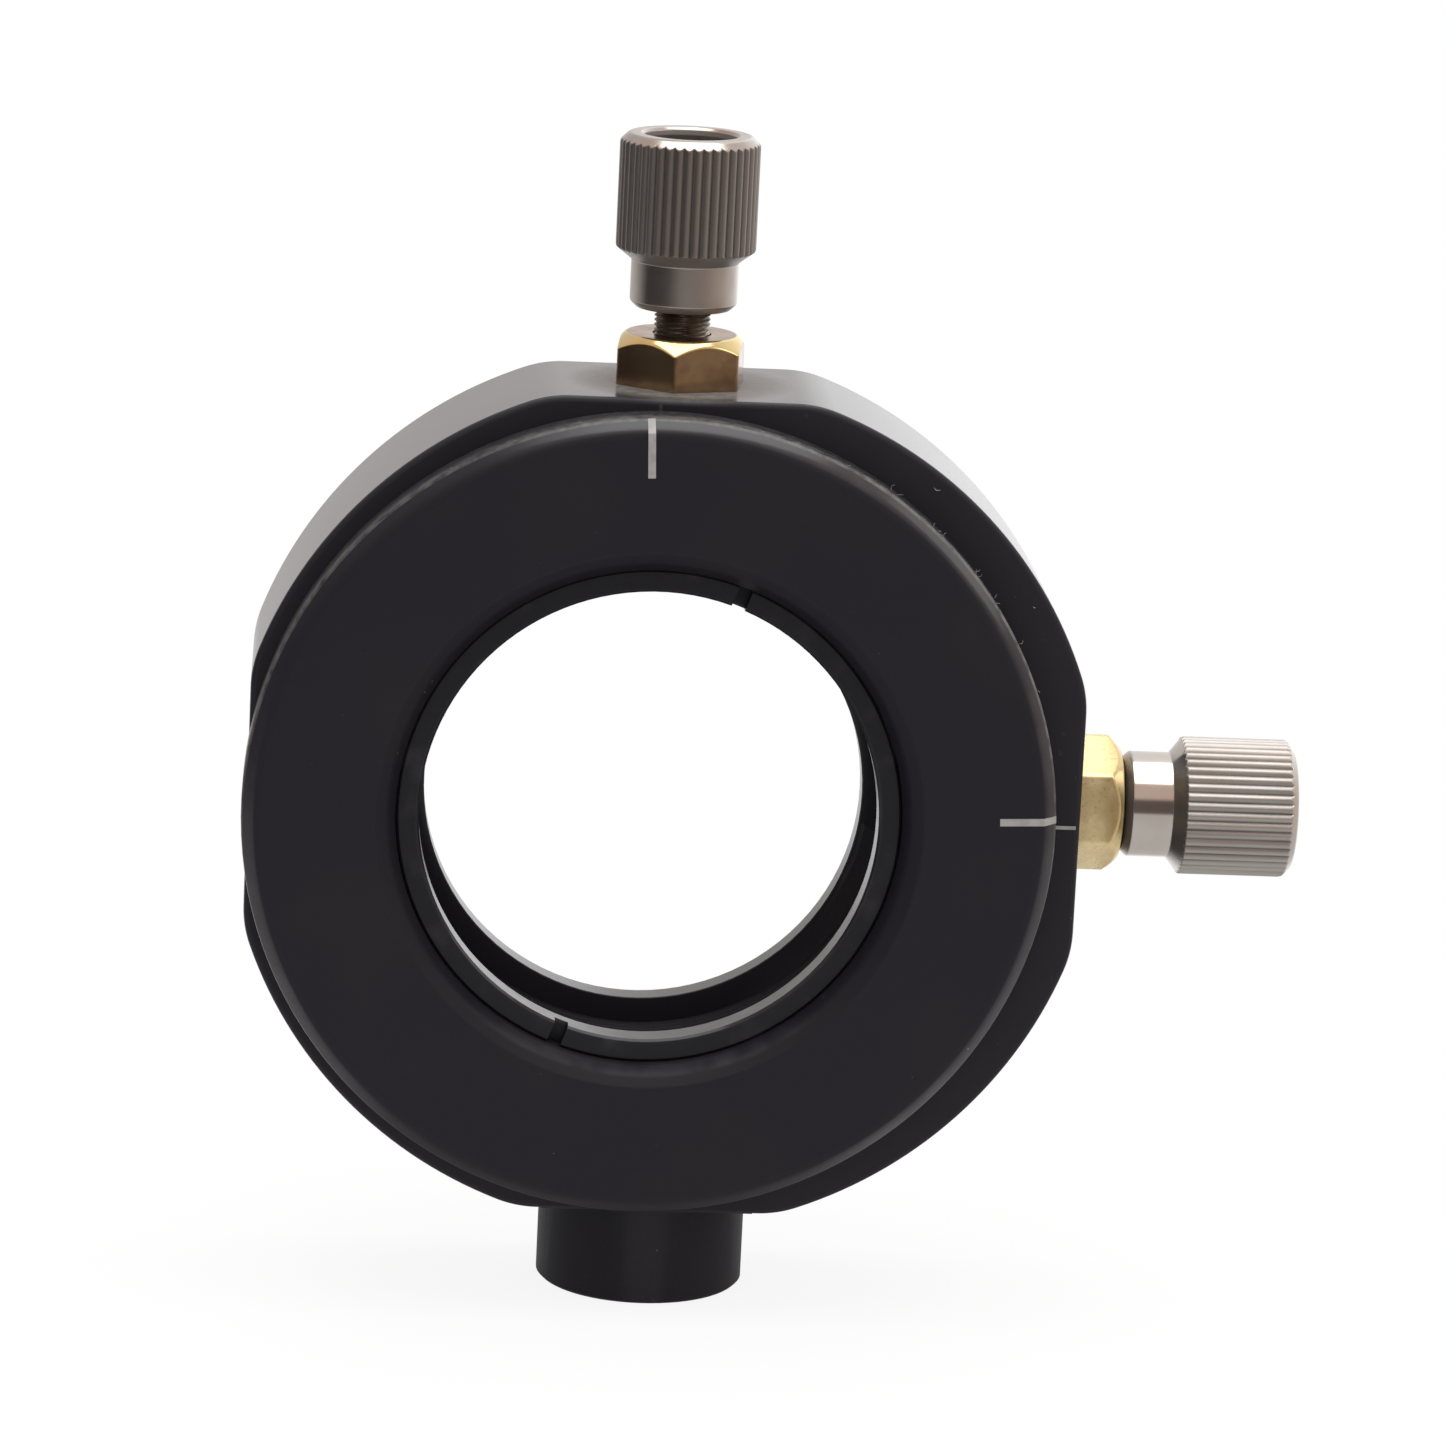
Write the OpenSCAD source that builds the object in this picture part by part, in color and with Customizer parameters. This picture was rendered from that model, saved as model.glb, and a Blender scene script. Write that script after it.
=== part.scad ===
// Two-axis translating mount for a one-inch lens. The optical axis runs along Y, the front faces -Y,
// and the origin is the mouth of the post thread, in the middle of the foot of the boss.

/* [Housing] */
// Wall left between the keeper ring's step and each of the four flats
flat_wall = 1.25; // [0.8:0.05:2]
// How far the round sides stand out past the flats
round_side_rise = 1.05; // [0.7:0.05:2]
// Radius that blends each flat into the round side
corner_radius = 6; // [3:0.5:9]
// Thickness of the housing along the optical axis
housing_thickness = 11; // [10:0.1:13]
// Chamfer along the outer edges of the housing
housing_chamfer = 0.2; // [0.1:0.05:0.4]
// Radius of the boss that stands on the post
boss_radius = 5.5; // [4.5:0.1:7]
// Length of the boss below the bottom flat
boss_length = 5.15; // [4.8:0.05:9]
// Chamfer round the foot of the boss
boss_chamfer = 0.25; // [0.1:0.05:0.6]

/* [Post thread] */
// Radius of the tapped hole for the post stud
post_thread_radius = 1.75; // [1.6:0.05:2.1]
// Wall left between the tapped hole and the spring pocket above it
post_thread_wall = 0.7; // [0.5:0.05:2]

/* [Lens cell] */
// Thickness of the front flange
flange_thickness = 3.1; // [2.8:0.1:3.6]
// Bevel round the front of the flange
flange_bevel = 0.67; // [0.3:0.01:1.2]
// Small chamfer round the back of the flange
flange_back_chamfer = 0.15; // [0.05:0.05:0.3]
// Radius of the threaded lens bore, 1.035 inch across
bore_radius = 13.14; // [12.9:0.01:13.3]
// Width of the countersink at the front face
countersink_width = 1.06; // [0.4:0.02:1.6]
// Depth of the countersink
countersink_depth = 0.95; // [0.5:0.05:1.1]
// Distance from the front face to the seat that stops the lens
seat_depth = 8.35; // [7.6:0.05:9]
// Thickness of the lip behind the lens
lip_thickness = 1.6; // [0.8:0.05:2]
// Width of the lip
lip_width = 1.56; // [0.8:0.01:2]
// Wall between the lens bore and the thread on the rear end of the hub
hub_thread_wall = 1.16; // [0.8:0.02:2]
// Height of the hub's shoulder above that thread
hub_shoulder = 0.7; // [0.5:0.05:1.2]
// Depth of the four flats on the hub
hub_flat_depth = 0.4; // [0.2:0.05:0.45]
// How far the hub stops short of the housing's back face
hub_recess = 0.5; // [0.3:0.1:0.6]

/* [Rings] */
// Width of the retaining ring's section
ring_width = 1.17; // [0.8:0.01:1.8]
// Thickness of the retaining ring
ring_thickness = 1.75; // [1.5:0.05:2.3]
// How far the retaining ring stands behind the front face
ring_depth = 1.29; // [1.1:0.01:3]
// Chamfer on the edges of the retaining ring
ring_chamfer = 0.12; // [0.05:0.01:0.25]
// Width of the two spanner slots in the retaining ring
ring_slot_width = 0.75; // [0.5:0.05:1.2]
// Depth of the spanner slots
ring_slot_depth = 0.8; // [0.4:0.05:1]
// Where the first slot stands, clockwise from the top as seen from the front
ring_slot_angle = 20; // [0:1:179]
// Width of the keeper ring behind the housing
keeper_width = 4.55; // [4:0.05:6]
// Chamfer on the back edge of the keeper ring
keeper_chamfer = 0.25; // [0.1:0.05:0.5]
// Width of the four spanner slots in the keeper ring
keeper_slot_width = 1.6; // [1:0.1:2.4]
// Depth of the keeper ring's spanner slots
keeper_slot_depth = 0.8; // [0.4:0.05:1]
// Thickness of the plastic washer under the flange
front_washer_thickness = 0.4; // [0.3:0.05:0.6]
// Width of that washer
front_washer_width = 2.68; // [2:0.01:4]
// How far the flange still covers the washer's track at the corner of the travel
flange_cover = 0.05; // [0:0.01:0.3]
// Thickness of the plastic washer under the keeper ring
rear_washer_thickness = 0.3; // [0.2:0.05:0.5]

/* [Adjustment] */
// Travel of the lens cell each way from the centre
travel = 1; // [0.5:0.05:1.1]
// Where the cell stands now, to the right of the centre
cell_x = -0.92; // [-1:0.01:1]
// Where the cell stands now, above the centre
cell_z = 0.12; // [-1:0.01:1]
// Gap left under the top knob at the end of its travel
top_stop_gap = 0.2; // [0.05:0.01:0.5]
// Gap left under the right knob at the end of its travel
right_stop_gap = 0.05; // [0.03:0.01:0.5]

/* [Bushings] */
// Hexagon of the bushings across the flats
bushing_hexagon = 6.35; // [6:0.05:7]
// Height of the hexagon
bushing_height = 2.6; // [2.2:0.1:3.4]
// How far the round edge of the top face stands inside the hexagon's sides
bushing_face_inset = 0.275; // [0.1:0.025:0.5]
// Height of the chamfer at the hexagon's corners
bushing_chamfer = 0.75; // [0.4:0.05:0.9]
// Radius of the bushing's threaded shank
bushing_shank_radius = 2.4; // [2.2:0.05:2.6]
// How far the shank stops short of the cavity
bushing_tip_gap = 0.55; // [0.1:0.05:1.5]
// Wall between a bushing's hole and the step behind it
bushing_wall = 0.45; // [0.3:0.05:0.7]
// Turn of the top bushing's hexagon
top_hexagon_turn = 22; // [0:1:59]
// Turn of the right bushing's hexagon
right_hexagon_turn = 50; // [0:1:59]

/* [Adjusting screws] */
// Radius of the fine adjusting screws
screw_radius = 1.47; // [1.3:0.01:1.5]
// Radius of the ball in the tip of each screw
ball_radius = 0.8; // [0.6:0.05:0.9]
// Share of the ball's radius by which the screw's lip reaches past its centre
ball_lip_share = 0.4; // [0.35:0.05:0.5]
// Across flats of the hexagon socket in the screw's outer end
socket_hexagon = 1.6; // [1.2:0.05:2]
// Depth of the hexagon socket
socket_depth = 1.4; // [0.8:0.1:1.8]

/* [Knobs] */
// Radius over the knurl
knob_radius = 3.65; // [3.4:0.05:4.2]
// Length of the knurl
knurl_length = 5.5; // [4.5:0.1:7]
// Number of knurl teeth
knurl_teeth = 44; // [36:1:52]
// Depth of the grooves between the teeth
knurl_depth = 0.19; // [0.1:0.01:0.22]
// Width of the land on top of each tooth
knurl_land = 0.14; // [0.05:0.01:0.2]
// Radius of the plain collar under the knurl
collar_radius = 2.8; // [2.5:0.05:3.2]
// Length of the collar
collar_length = 2.5; // [1.8:0.1:3.5]
// Chamfer round the foot of the collar
collar_chamfer = 0.35; // [0.1:0.05:0.5]
// Length of the cone between the collar and the knurl
cone_length = 0.65; // [0.3:0.05:1]
// Chamfer round the outer end of the knob
knob_chamfer = 0.45; // [0.2:0.05:0.7]
// Radius of the recess in the outer end
recess_radius = 2.42; // [2.2:0.02:2.7]
// Depth of the recess
recess_depth = 2.2; // [1.2:0.1:3.5]

/* [Wear pads] */
// Radius of the hardened pads that the balls press on
pad_radius = 2.5; // [2.2:0.05:2.6]
// Thickness of the pads
pad_thickness = 0.6; // [0.45:0.05:0.7]
// How far the pads stand out of the hub's flats
pad_rise = 0.1; // [0.05:0.01:0.15]
// Width of the flat left on each side of a pad
pad_margin = 0.6; // [0.2:0.05:0.8]

/* [Return plungers] */
// Radius of the spring pockets in the housing
pocket_radius = 1.6; // [1.5:0.05:1.8]
// Wall left between a spring pocket and the flat outside it
pocket_wall = 1.15; // [0.8:0.05:1.5]
// Gap left behind a plunger when it is pushed right in
plunger_end_gap = 0.38; // [0.2:0.02:0.8]
// Height of the plunger's domed head
plunger_dome = 0.5; // [0.3:0.05:0.8]
// Thickness of the plunger's head in front of the spring
plunger_head = 1.2; // [1:0.1:1.6]
// Wall round the cup in the plunger that holds the spring
plunger_wall = 0.42; // [0.3:0.01:0.6]
// Diameter of the spring wire
wire_diameter = 0.25; // [0.2:0.01:0.3]
// Turns of each return spring
spring_turns = 7; // [5:1:9]

/* [Fits] */
// Radial gap of a shaft that turns or slides in its bore
running_fit = 0.03; // [0.02:0.01:0.06]
// Radial gap of a threaded or seated piece in its hole
seat_fit = 0.05; // [0.02:0.01:0.1]
// Gap between a flat bearing face and the washer under it
slide_gap = 0.05; // [0.02:0.01:0.1]
// Gap where a ball or a plunger meets the face it presses on
contact_gap = 0.02; // [0.01:0.01:0.05]
// Radial gap left round the hub and keeper at the corner of their travel
travel_clearance = 0.19; // [0.1:0.01:0.25]

/* [Hidden] */
$fn = 96;
cut = 1;

// Radii of the lens cell and what is screwed to it, from the lens bore outwards
ring_radius = bore_radius - seat_fit;
ring_inner_radius = ring_radius - ring_width;
lip_radius = bore_radius - lip_width;
countersink_radius = bore_radius + countersink_width;
hub_thread_radius = bore_radius + hub_thread_wall;
hub_radius = hub_thread_radius + hub_shoulder;
hub_flat_distance = hub_radius - hub_flat_depth;
hub_flat_width = 2 * (pad_radius + pad_margin);
keeper_inner_radius = hub_thread_radius + seat_fit;
keeper_radius = keeper_inner_radius + keeper_width;

// Radii of the housing, which leave room for the travel in both directions at once
corner_travel = travel * sqrt(2) + travel_clearance;
cavity_radius = hub_radius + corner_travel;
step_radius = keeper_radius + corner_travel;
flat_distance = step_radius + flat_wall;
round_side_radius = flat_distance + round_side_rise;
washer_inner_radius = cavity_radius + 2 * seat_fit;
front_track_radius = washer_inner_radius + front_washer_width + seat_fit;
flange_radius = front_track_radius + corner_travel + flange_cover;

// Stations along the optical axis, from the front face to the back face
front_face = -housing_thickness / 2;
back_face = housing_thickness / 2;
flange_gap = 2 * slide_gap;
flange_back = front_face - flange_gap;
cell_face = flange_back - flange_thickness;
seat_face = cell_face + seat_depth;
lip_back = seat_face + lip_thickness;
front_track_depth = front_washer_thickness - flange_gap + slide_gap;
step_floor = bushing_shank_radius + seat_fit + bushing_wall;
keeper_front = step_floor + rear_washer_thickness + slide_gap;
hub_back = back_face - hub_recess;
ring_front = cell_face + ring_depth;

// Heights above the foot of the boss
axis_height = boss_length + flat_distance;
post_thread_depth = boss_length + pocket_wall - post_thread_wall;

// Stations along each adjuster, measured outwards from the housing's centre
bushing_tip = cavity_radius + bushing_tip_gap;
bushing_end = flat_distance + bushing_height;
pad_face = hub_flat_distance + pad_rise;
ball_centre = pad_face + contact_gap + ball_radius;
screw_tip = ball_centre - ball_radius * ball_lip_share;
top_collar_end = bushing_end + top_stop_gap + travel + cell_z;
right_collar_end = bushing_end + right_stop_gap + travel + cell_x;
knob_length = collar_length + cone_length + knurl_length + knob_chamfer;

// Stations along each return plunger, measured outwards from the housing's centre
pocket_floor = flat_distance - pocket_wall;
plunger_length = pocket_floor - plunger_end_gap - travel - contact_gap - hub_flat_distance;
plunger_radius = pocket_radius - running_fit;
plunger_cup_radius = plunger_radius - plunger_wall;
plunger_cup_depth = plunger_length - plunger_head;

// Turned solids: pairs of radius and depth along the optical axis
module turned(outline) {
    translate([0, 0, axis_height])
        rotate([-90, 0, 0])
            rotate_extrude()
                polygon(outline);
}

// The same, centred on the lens cell where it stands now
module turned_on_cell(outline) {
    translate([cell_x, 0, cell_z])
        turned(outline);
}

// Places a piece that is drawn along +Z from the housing's centre
module upwards() {
    translate([0, 0, axis_height])
        children();
}

module rightwards() {
    translate([0, 0, axis_height])
        rotate([0, 90, 0])
            children();
}

module downwards() {
    translate([0, 0, axis_height])
        rotate([180, 0, 0])
            children();
}

module leftwards() {
    translate([0, 0, axis_height])
        rotate([0, -90, 0])
            children();
}

// Outline of the housing: a circle with four flats, blended where they meet
module housing_outline() {
    blend_x = flat_distance - corner_radius;
    blend_y = sqrt((round_side_radius - corner_radius) ^ 2 - blend_x ^ 2);
    blend_angle = atan2(blend_y, blend_x);
    reach = round_side_radius * 1.2;
    for (quarter = [0:90:270])
        rotate(quarter) {
            translate([0, -blend_y])
                square([flat_distance, 2 * blend_y]);
            intersection() {
                circle(round_side_radius);
                polygon([
                    [0, 0],
                    [reach * cos(blend_angle), reach * sin(blend_angle)],
                    [reach, reach],
                    [reach * sin(blend_angle), reach * cos(blend_angle)]
                ]);
            }
            for (side = [-1, 1])
                translate([blend_x, side * blend_y])
                    circle(corner_radius);
        }
}

// A slab whose front and back long edges are chamfered, twice flat_distance high
module flat_slab() {
    reach = round_side_radius + cut;
    inset = flat_distance - housing_chamfer;
    edge = back_face - housing_chamfer;
    rotate([90, 0, 90])
        linear_extrude(2 * reach, center = true)
            polygon([
                [-back_face, -inset], [-edge, -flat_distance], [edge, -flat_distance], [back_face, -inset],
                [back_face, inset], [edge, flat_distance], [-edge, flat_distance], [-back_face, inset]
            ]);
}

module housing_plate() {
    inset = round_side_radius - housing_chamfer;
    edge = back_face - housing_chamfer;
    intersection() {
        translate([0, 0, axis_height])
            rotate([90, 0, 0])
                linear_extrude(housing_thickness, center = true)
                    housing_outline();
        turned([
            [0, -back_face], [inset, -back_face], [round_side_radius, -edge],
            [round_side_radius, edge], [inset, back_face], [0, back_face]
        ]);
        upwards() flat_slab();
        rightwards() flat_slab();
    }
}

module boss() {
    foot = boss_radius - boss_chamfer;
    rotate_extrude()
        polygon([
            [0, 0], [foot, 0], [boss_radius, boss_chamfer],
            [boss_radius, boss_length + cut], [0, boss_length + cut]
        ]);
}

module bushing_hole() {
    translate([0, 0, cavity_radius - cut])
        cylinder(r = bushing_shank_radius + seat_fit, h = flat_distance - cavity_radius + 2 * cut);
}

module spring_pocket() {
    translate([0, 0, cavity_radius - cut])
        cylinder(r = pocket_radius, h = pocket_floor - cavity_radius + cut);
}

module housing() {
    color("#26242a")
        difference() {
            union() {
                housing_plate();
                boss();
            }
            turned([
                [0, front_face - cut], [front_track_radius, front_face - cut],
                [front_track_radius, front_face + front_track_depth],
                [cavity_radius, front_face + front_track_depth], [cavity_radius, step_floor],
                [step_radius, step_floor], [step_radius, back_face + cut], [0, back_face + cut]
            ]);
            upwards() bushing_hole();
            rightwards() bushing_hole();
            downwards() spring_pocket();
            leftwards() spring_pocket();
            translate([0, 0, -cut])
                cylinder(r = post_thread_radius, h = post_thread_depth + cut);
        }
}

// Cuts one flat on the hub, above the pad's side of it
module hub_flat() {
    translate([-hub_radius, -hub_flat_width / 2, hub_flat_distance])
        cube([2 * hub_radius, hub_flat_width, hub_radius]);
}

module pad_recess() {
    translate([0, 0, pad_face - pad_thickness])
        cylinder(r = pad_radius + seat_fit, h = hub_radius);
}

module lens_cell() {
    edge = flange_back - flange_back_chamfer;
    mouth = bore_radius + keeper_chamfer;
    color("#26242a")
        difference() {
            turned_on_cell([
                [countersink_radius, cell_face], [flange_radius - flange_bevel, cell_face],
                [flange_radius, cell_face + flange_bevel], [flange_radius, edge],
                [flange_radius - flange_back_chamfer, flange_back], [hub_radius, flange_back],
                [hub_radius, keeper_front], [hub_thread_radius, keeper_front],
                [hub_thread_radius, hub_back], [mouth, hub_back],
                [bore_radius, hub_back - keeper_chamfer], [bore_radius, lip_back],
                [lip_radius, lip_back], [lip_radius, seat_face], [bore_radius, seat_face],
                [bore_radius, cell_face + countersink_depth]
            ]);
            translate([cell_x, 0, cell_z]) {
                upwards() hub_flat();
                rightwards() hub_flat();
                downwards() hub_flat();
                leftwards() hub_flat();
                upwards() pad_recess();
                rightwards() pad_recess();
            }
        }
}

module retaining_ring() {
    back = ring_front + ring_thickness;
    reach = bore_radius + cut;
    color("#26242a")
        difference() {
            turned_on_cell([
                [ring_inner_radius + ring_chamfer, ring_front], [ring_radius - ring_chamfer, ring_front],
                [ring_radius, ring_front + ring_chamfer], [ring_radius, back - ring_chamfer],
                [ring_radius - ring_chamfer, back], [ring_inner_radius + ring_chamfer, back],
                [ring_inner_radius, back - ring_chamfer], [ring_inner_radius, ring_front + ring_chamfer]
            ]);
            translate([cell_x, ring_front, axis_height + cell_z])
                rotate([0, ring_slot_angle, 0])
                    cube([ring_slot_width, 2 * ring_slot_depth, 2 * reach], center = true);
        }
}

module keeper_ring() {
    back = hub_back;
    color("#26242a")
        difference() {
            turned_on_cell([
                [keeper_inner_radius, keeper_front], [keeper_radius, keeper_front],
                [keeper_radius, back - keeper_chamfer], [keeper_radius - keeper_chamfer, back],
                [keeper_inner_radius, back]
            ]);
            translate([cell_x, back, axis_height + cell_z])
                for (turn = [45, 135])
                    rotate([0, turn, 0])
                        cube([keeper_slot_width, 2 * keeper_slot_depth, 3 * keeper_radius], center = true);
        }
}

module front_slide_washer() {
    back = front_face + front_track_depth;
    front = back - front_washer_thickness;
    outer = front_track_radius - seat_fit;
    color("#d8d4c8")
        turned([
            [washer_inner_radius, front], [outer, front], [outer, back], [washer_inner_radius, back]
        ]);
}

module rear_slide_washer() {
    back = step_floor + rear_washer_thickness;
    outer = step_radius - seat_fit;
    color("#d8d4c8")
        turned([
            [washer_inner_radius, step_floor], [outer, step_floor], [outer, back],
            [washer_inner_radius, back]
        ]);
}

// Hexagon-headed brass bushing, seated on a flat of the housing
module bushing() {
    corner = bushing_hexagon / sqrt(3);
    shoulder = bushing_end - bushing_chamfer;
    face_radius = bushing_hexagon / 2 - bushing_face_inset;
    color("#b5924c")
        difference() {
            union() {
                intersection() {
                    translate([0, 0, flat_distance])
                        cylinder(r = corner, h = bushing_height, $fn = 6);
                    rotate_extrude()
                        polygon([
                            [0, flat_distance], [corner + cut, flat_distance], [corner + cut, shoulder],
                            [corner, shoulder], [face_radius, bushing_end], [0, bushing_end]
                        ]);
                }
                translate([0, 0, bushing_tip])
                    cylinder(r = bushing_shank_radius, h = flat_distance + bushing_height / 2 - bushing_tip);
            }
            translate([0, 0, bushing_tip - cut])
                cylinder(r = screw_radius + running_fit, h = bushing_end - bushing_tip + 2 * cut);
        }
}

module top_bushing() {
    upwards() rotate(top_hexagon_turn) bushing();
}

module right_bushing() {
    rightwards() rotate(right_hexagon_turn) bushing();
}

// Fine adjusting screw with a ball socket inside and a hexagon socket outside
module screw(cell, collar_end) {
    start = screw_tip + cell;
    end = collar_end + knob_length - recess_depth;
    lead = (screw_radius - ball_radius) / 3;
    color("#8d8782")
        difference() {
            rotate_extrude()
                polygon([
                    [0, start], [screw_radius - lead, start], [screw_radius, start + lead],
                    [screw_radius, end], [0, end]
                ]);
            translate([0, 0, ball_centre + cell])
                sphere(ball_radius + running_fit);
            translate([0, 0, end - socket_depth])
                cylinder(r = socket_hexagon / sqrt(3), h = socket_depth + cut, $fn = 6);
        }
}

module top_screw() {
    upwards() screw(cell_z, top_collar_end);
}

module right_screw() {
    rightwards() screw(cell_x, right_collar_end);
}

// Section of the knurl: straight V grooves between narrow lands
module knurl_section() {
    pitch = 360 / knurl_teeth;
    land = asin(knurl_land / (2 * knob_radius));
    polygon([
        for (tooth = [0:knurl_teeth - 1])
            for (point = [[knob_radius, -land], [knob_radius, land], [knob_radius - knurl_depth, pitch / 2]])
                point[0] * [cos(tooth * pitch + point[1]), sin(tooth * pitch + point[1])]
    ]);
}

// Knurled knob, drawn upwards from the foot of its collar
module knob(collar_end) {
    cone_start = collar_length;
    knurl_start = cone_start + cone_length;
    knurl_end = knurl_start + knurl_length;
    stem = screw_radius + running_fit;
    floor_z = knob_length - recess_depth;
    edge = knob_chamfer / 3;
    color("#a8a29c")
        translate([0, 0, collar_end])
            difference() {
                union() {
                    rotate_extrude()
                        polygon([
                            [0, 0], [collar_radius - collar_chamfer, 0], [collar_radius, collar_chamfer],
                            [collar_radius, cone_start + cone_length / 2], [0, cone_start + cone_length / 2]
                        ]);
                    intersection() {
                        translate([0, 0, cone_start])
                            linear_extrude(knob_length - cone_start)
                                knurl_section();
                        rotate_extrude()
                            polygon([
                                [0, cone_start], [collar_radius, cone_start], [knob_radius, knurl_start],
                                [knob_radius, knurl_end], [knob_radius - knob_chamfer, knob_length],
                                [0, knob_length]
                            ]);
                    }
                }
                translate([0, 0, -cut])
                    cylinder(r = stem, h = knob_length + 2 * cut);
                rotate_extrude()
                    polygon([
                        [0, floor_z], [recess_radius, floor_z], [recess_radius, knob_length - edge],
                        [recess_radius + edge, knob_length], [recess_radius + edge, knob_length + cut],
                        [0, knob_length + cut]
                    ]);
            }
}

module top_knob() {
    upwards() knob(top_collar_end);
}

module right_knob() {
    rightwards() knob(right_collar_end);
}

module tip_ball(cell) {
    color("#c9c9cc")
        translate([0, 0, ball_centre + cell])
            sphere(ball_radius);
}

module top_ball() {
    upwards() tip_ball(cell_z);
}

module right_ball() {
    rightwards() tip_ball(cell_x);
}

module wear_pad() {
    color("#b4b2ae")
        translate([0, 0, pad_face - pad_thickness])
            cylinder(r = pad_radius, h = pad_thickness);
}

module top_wear_pad() {
    translate([cell_x, 0, cell_z])
        upwards() wear_pad();
}

module right_wear_pad() {
    translate([cell_x, 0, cell_z])
        rightwards() wear_pad();
}

// Where the tip of a plunger stands, from the housing's centre; cell is its distance from the centre
function plunger_tip(cell) = hub_flat_distance - cell + contact_gap;

// Domed plunger, hollow behind for its spring
module plunger(cell) {
    tip = plunger_tip(cell);
    tail = tip + plunger_length;
    dome_radius = (plunger_radius ^ 2 + plunger_dome ^ 2) / (2 * plunger_dome);
    color("#9c9a96")
        difference() {
            intersection() {
                translate([0, 0, tip])
                    cylinder(r = plunger_radius, h = plunger_length);
                translate([0, 0, tip + dome_radius])
                    rotate_extrude()
                        intersection() {
                            circle(dome_radius);
                            translate([0, -dome_radius])
                                square([dome_radius, 2 * dome_radius]);
                        }
            }
            translate([0, 0, tail - plunger_cup_depth])
                cylinder(r = plunger_cup_radius, h = plunger_cup_depth + cut);
        }
}

module lower_plunger() {
    downwards() plunger(cell_z);
}

module left_plunger() {
    leftwards() plunger(cell_x);
}

// Coil spring: a round wire swept along a helix from the plunger's cup to the pocket's floor
module return_spring(cell) {
    sides = 8;
    steps = 16;
    wire = wire_diameter / 2;
    coil = plunger_cup_radius - wire - running_fit;
    from = plunger_tip(cell) + plunger_length - plunger_cup_depth + wire;
    to = pocket_floor - wire;
    rings = spring_turns * steps;
    points = [
        for (i = [0:rings])
            for (j = [0:sides - 1])
                let (turn = 360 * i / steps, side = 360 * j / sides)
                    [
                        (coil + wire * cos(side)) * cos(turn),
                        (coil + wire * cos(side)) * sin(turn),
                        from + (to - from) * i / rings + wire * sin(side)
                    ]
    ];
    walls = [
        for (i = [0:rings - 1])
            for (j = [0:sides - 1])
                let (a = i * sides + j, b = i * sides + (j + 1) % sides)
                    [a, a + sides, b + sides, b]
    ];
    first = [for (j = [0:sides - 1]) j];
    last = [for (j = [sides - 1:-1:0]) rings * sides + j];
    color("#8a8a8c")
        polyhedron(points, concat(walls, [first, last]));
}

module lower_spring() {
    downwards() return_spring(cell_z);
}

module left_spring() {
    leftwards() return_spring(cell_x);
}

housing();
lens_cell();
retaining_ring();
keeper_ring();
front_slide_washer();
rear_slide_washer();
top_bushing();
right_bushing();
top_screw();
right_screw();
top_knob();
right_knob();
top_ball();
right_ball();
top_wear_pad();
right_wear_pad();
lower_plunger();
left_plunger();
lower_spring();
left_spring();
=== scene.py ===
import math

import bmesh
import bpy
import numpy as np
from mathutils import Matrix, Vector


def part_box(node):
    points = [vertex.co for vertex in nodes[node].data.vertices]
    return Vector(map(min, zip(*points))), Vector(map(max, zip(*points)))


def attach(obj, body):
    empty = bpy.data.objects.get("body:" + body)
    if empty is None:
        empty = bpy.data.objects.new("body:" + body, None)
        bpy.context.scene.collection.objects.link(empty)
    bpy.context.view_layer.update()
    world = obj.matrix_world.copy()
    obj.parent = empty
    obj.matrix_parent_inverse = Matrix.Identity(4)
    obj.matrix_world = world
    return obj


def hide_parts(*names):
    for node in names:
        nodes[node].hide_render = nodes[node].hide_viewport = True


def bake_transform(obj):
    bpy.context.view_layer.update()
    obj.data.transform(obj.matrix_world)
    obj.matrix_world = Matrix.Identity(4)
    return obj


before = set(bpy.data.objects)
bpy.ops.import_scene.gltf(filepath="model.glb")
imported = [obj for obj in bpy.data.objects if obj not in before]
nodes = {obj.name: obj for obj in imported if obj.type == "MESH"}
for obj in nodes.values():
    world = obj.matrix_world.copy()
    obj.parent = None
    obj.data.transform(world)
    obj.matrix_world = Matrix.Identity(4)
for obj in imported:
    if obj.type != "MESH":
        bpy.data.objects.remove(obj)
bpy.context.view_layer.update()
print("frame loaded:", len(nodes), "nodes")

mm = 0.001

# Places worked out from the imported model, in metres
housingLow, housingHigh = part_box("housing")
cellLow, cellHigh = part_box("lens_cell")
axisHeight = housingHigh.z - housingHigh.x  # the housing is as wide as it is high above its centre
discCentre = ((cellLow.x + cellHigh.x) / 2, 0.0, (cellLow.z + cellHigh.z) / 2)
discRadius = (cellHigh.x - cellLow.x) / 2
discFace = cellLow.y
frontFace = housingLow.y

# The same in millimetres, for the new pieces
flatMm, depthMm, axisMm, frontMm = (size / mm for size in (housingHigh.x, housingHigh.y, axisHeight, frontFace))
discMm, rimMm, faceMm = np.array(discCentre) / mm, discRadius / mm, discFace / mm

# Frames of the turned pieces: centre, two cross directions and the direction along the axis
alongTop = ((0, 0, axisHeight), (1, 0, 0), (0, 1, 0), (0, 0, 1))
alongRight = ((0, 0, axisHeight), (0, 1, 0), (0, 0, 1), (1, 0, 0))
alongLens = (discCentre, (0, 0, 1), (1, 0, 0), (0, 1, 0))
onFloor = ((0, 0, 0), (1, 0, 0), (0, 1, 0), (0, 0, 1))


def extent(node, place):
    # Lowest and highest point of a node along a frame's axis, from the frame's centre, in millimetres
    axis = place[3].index(1)
    return [corner[axis] / mm - place[0][axis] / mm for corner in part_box(node)]


def shifted(start, span):
    return tuple(start + step for step in span)


def scaled(span, share):
    # The first number where the share is 0, the second where it is 1
    low, high = span
    return low + (high - low) * share


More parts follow.
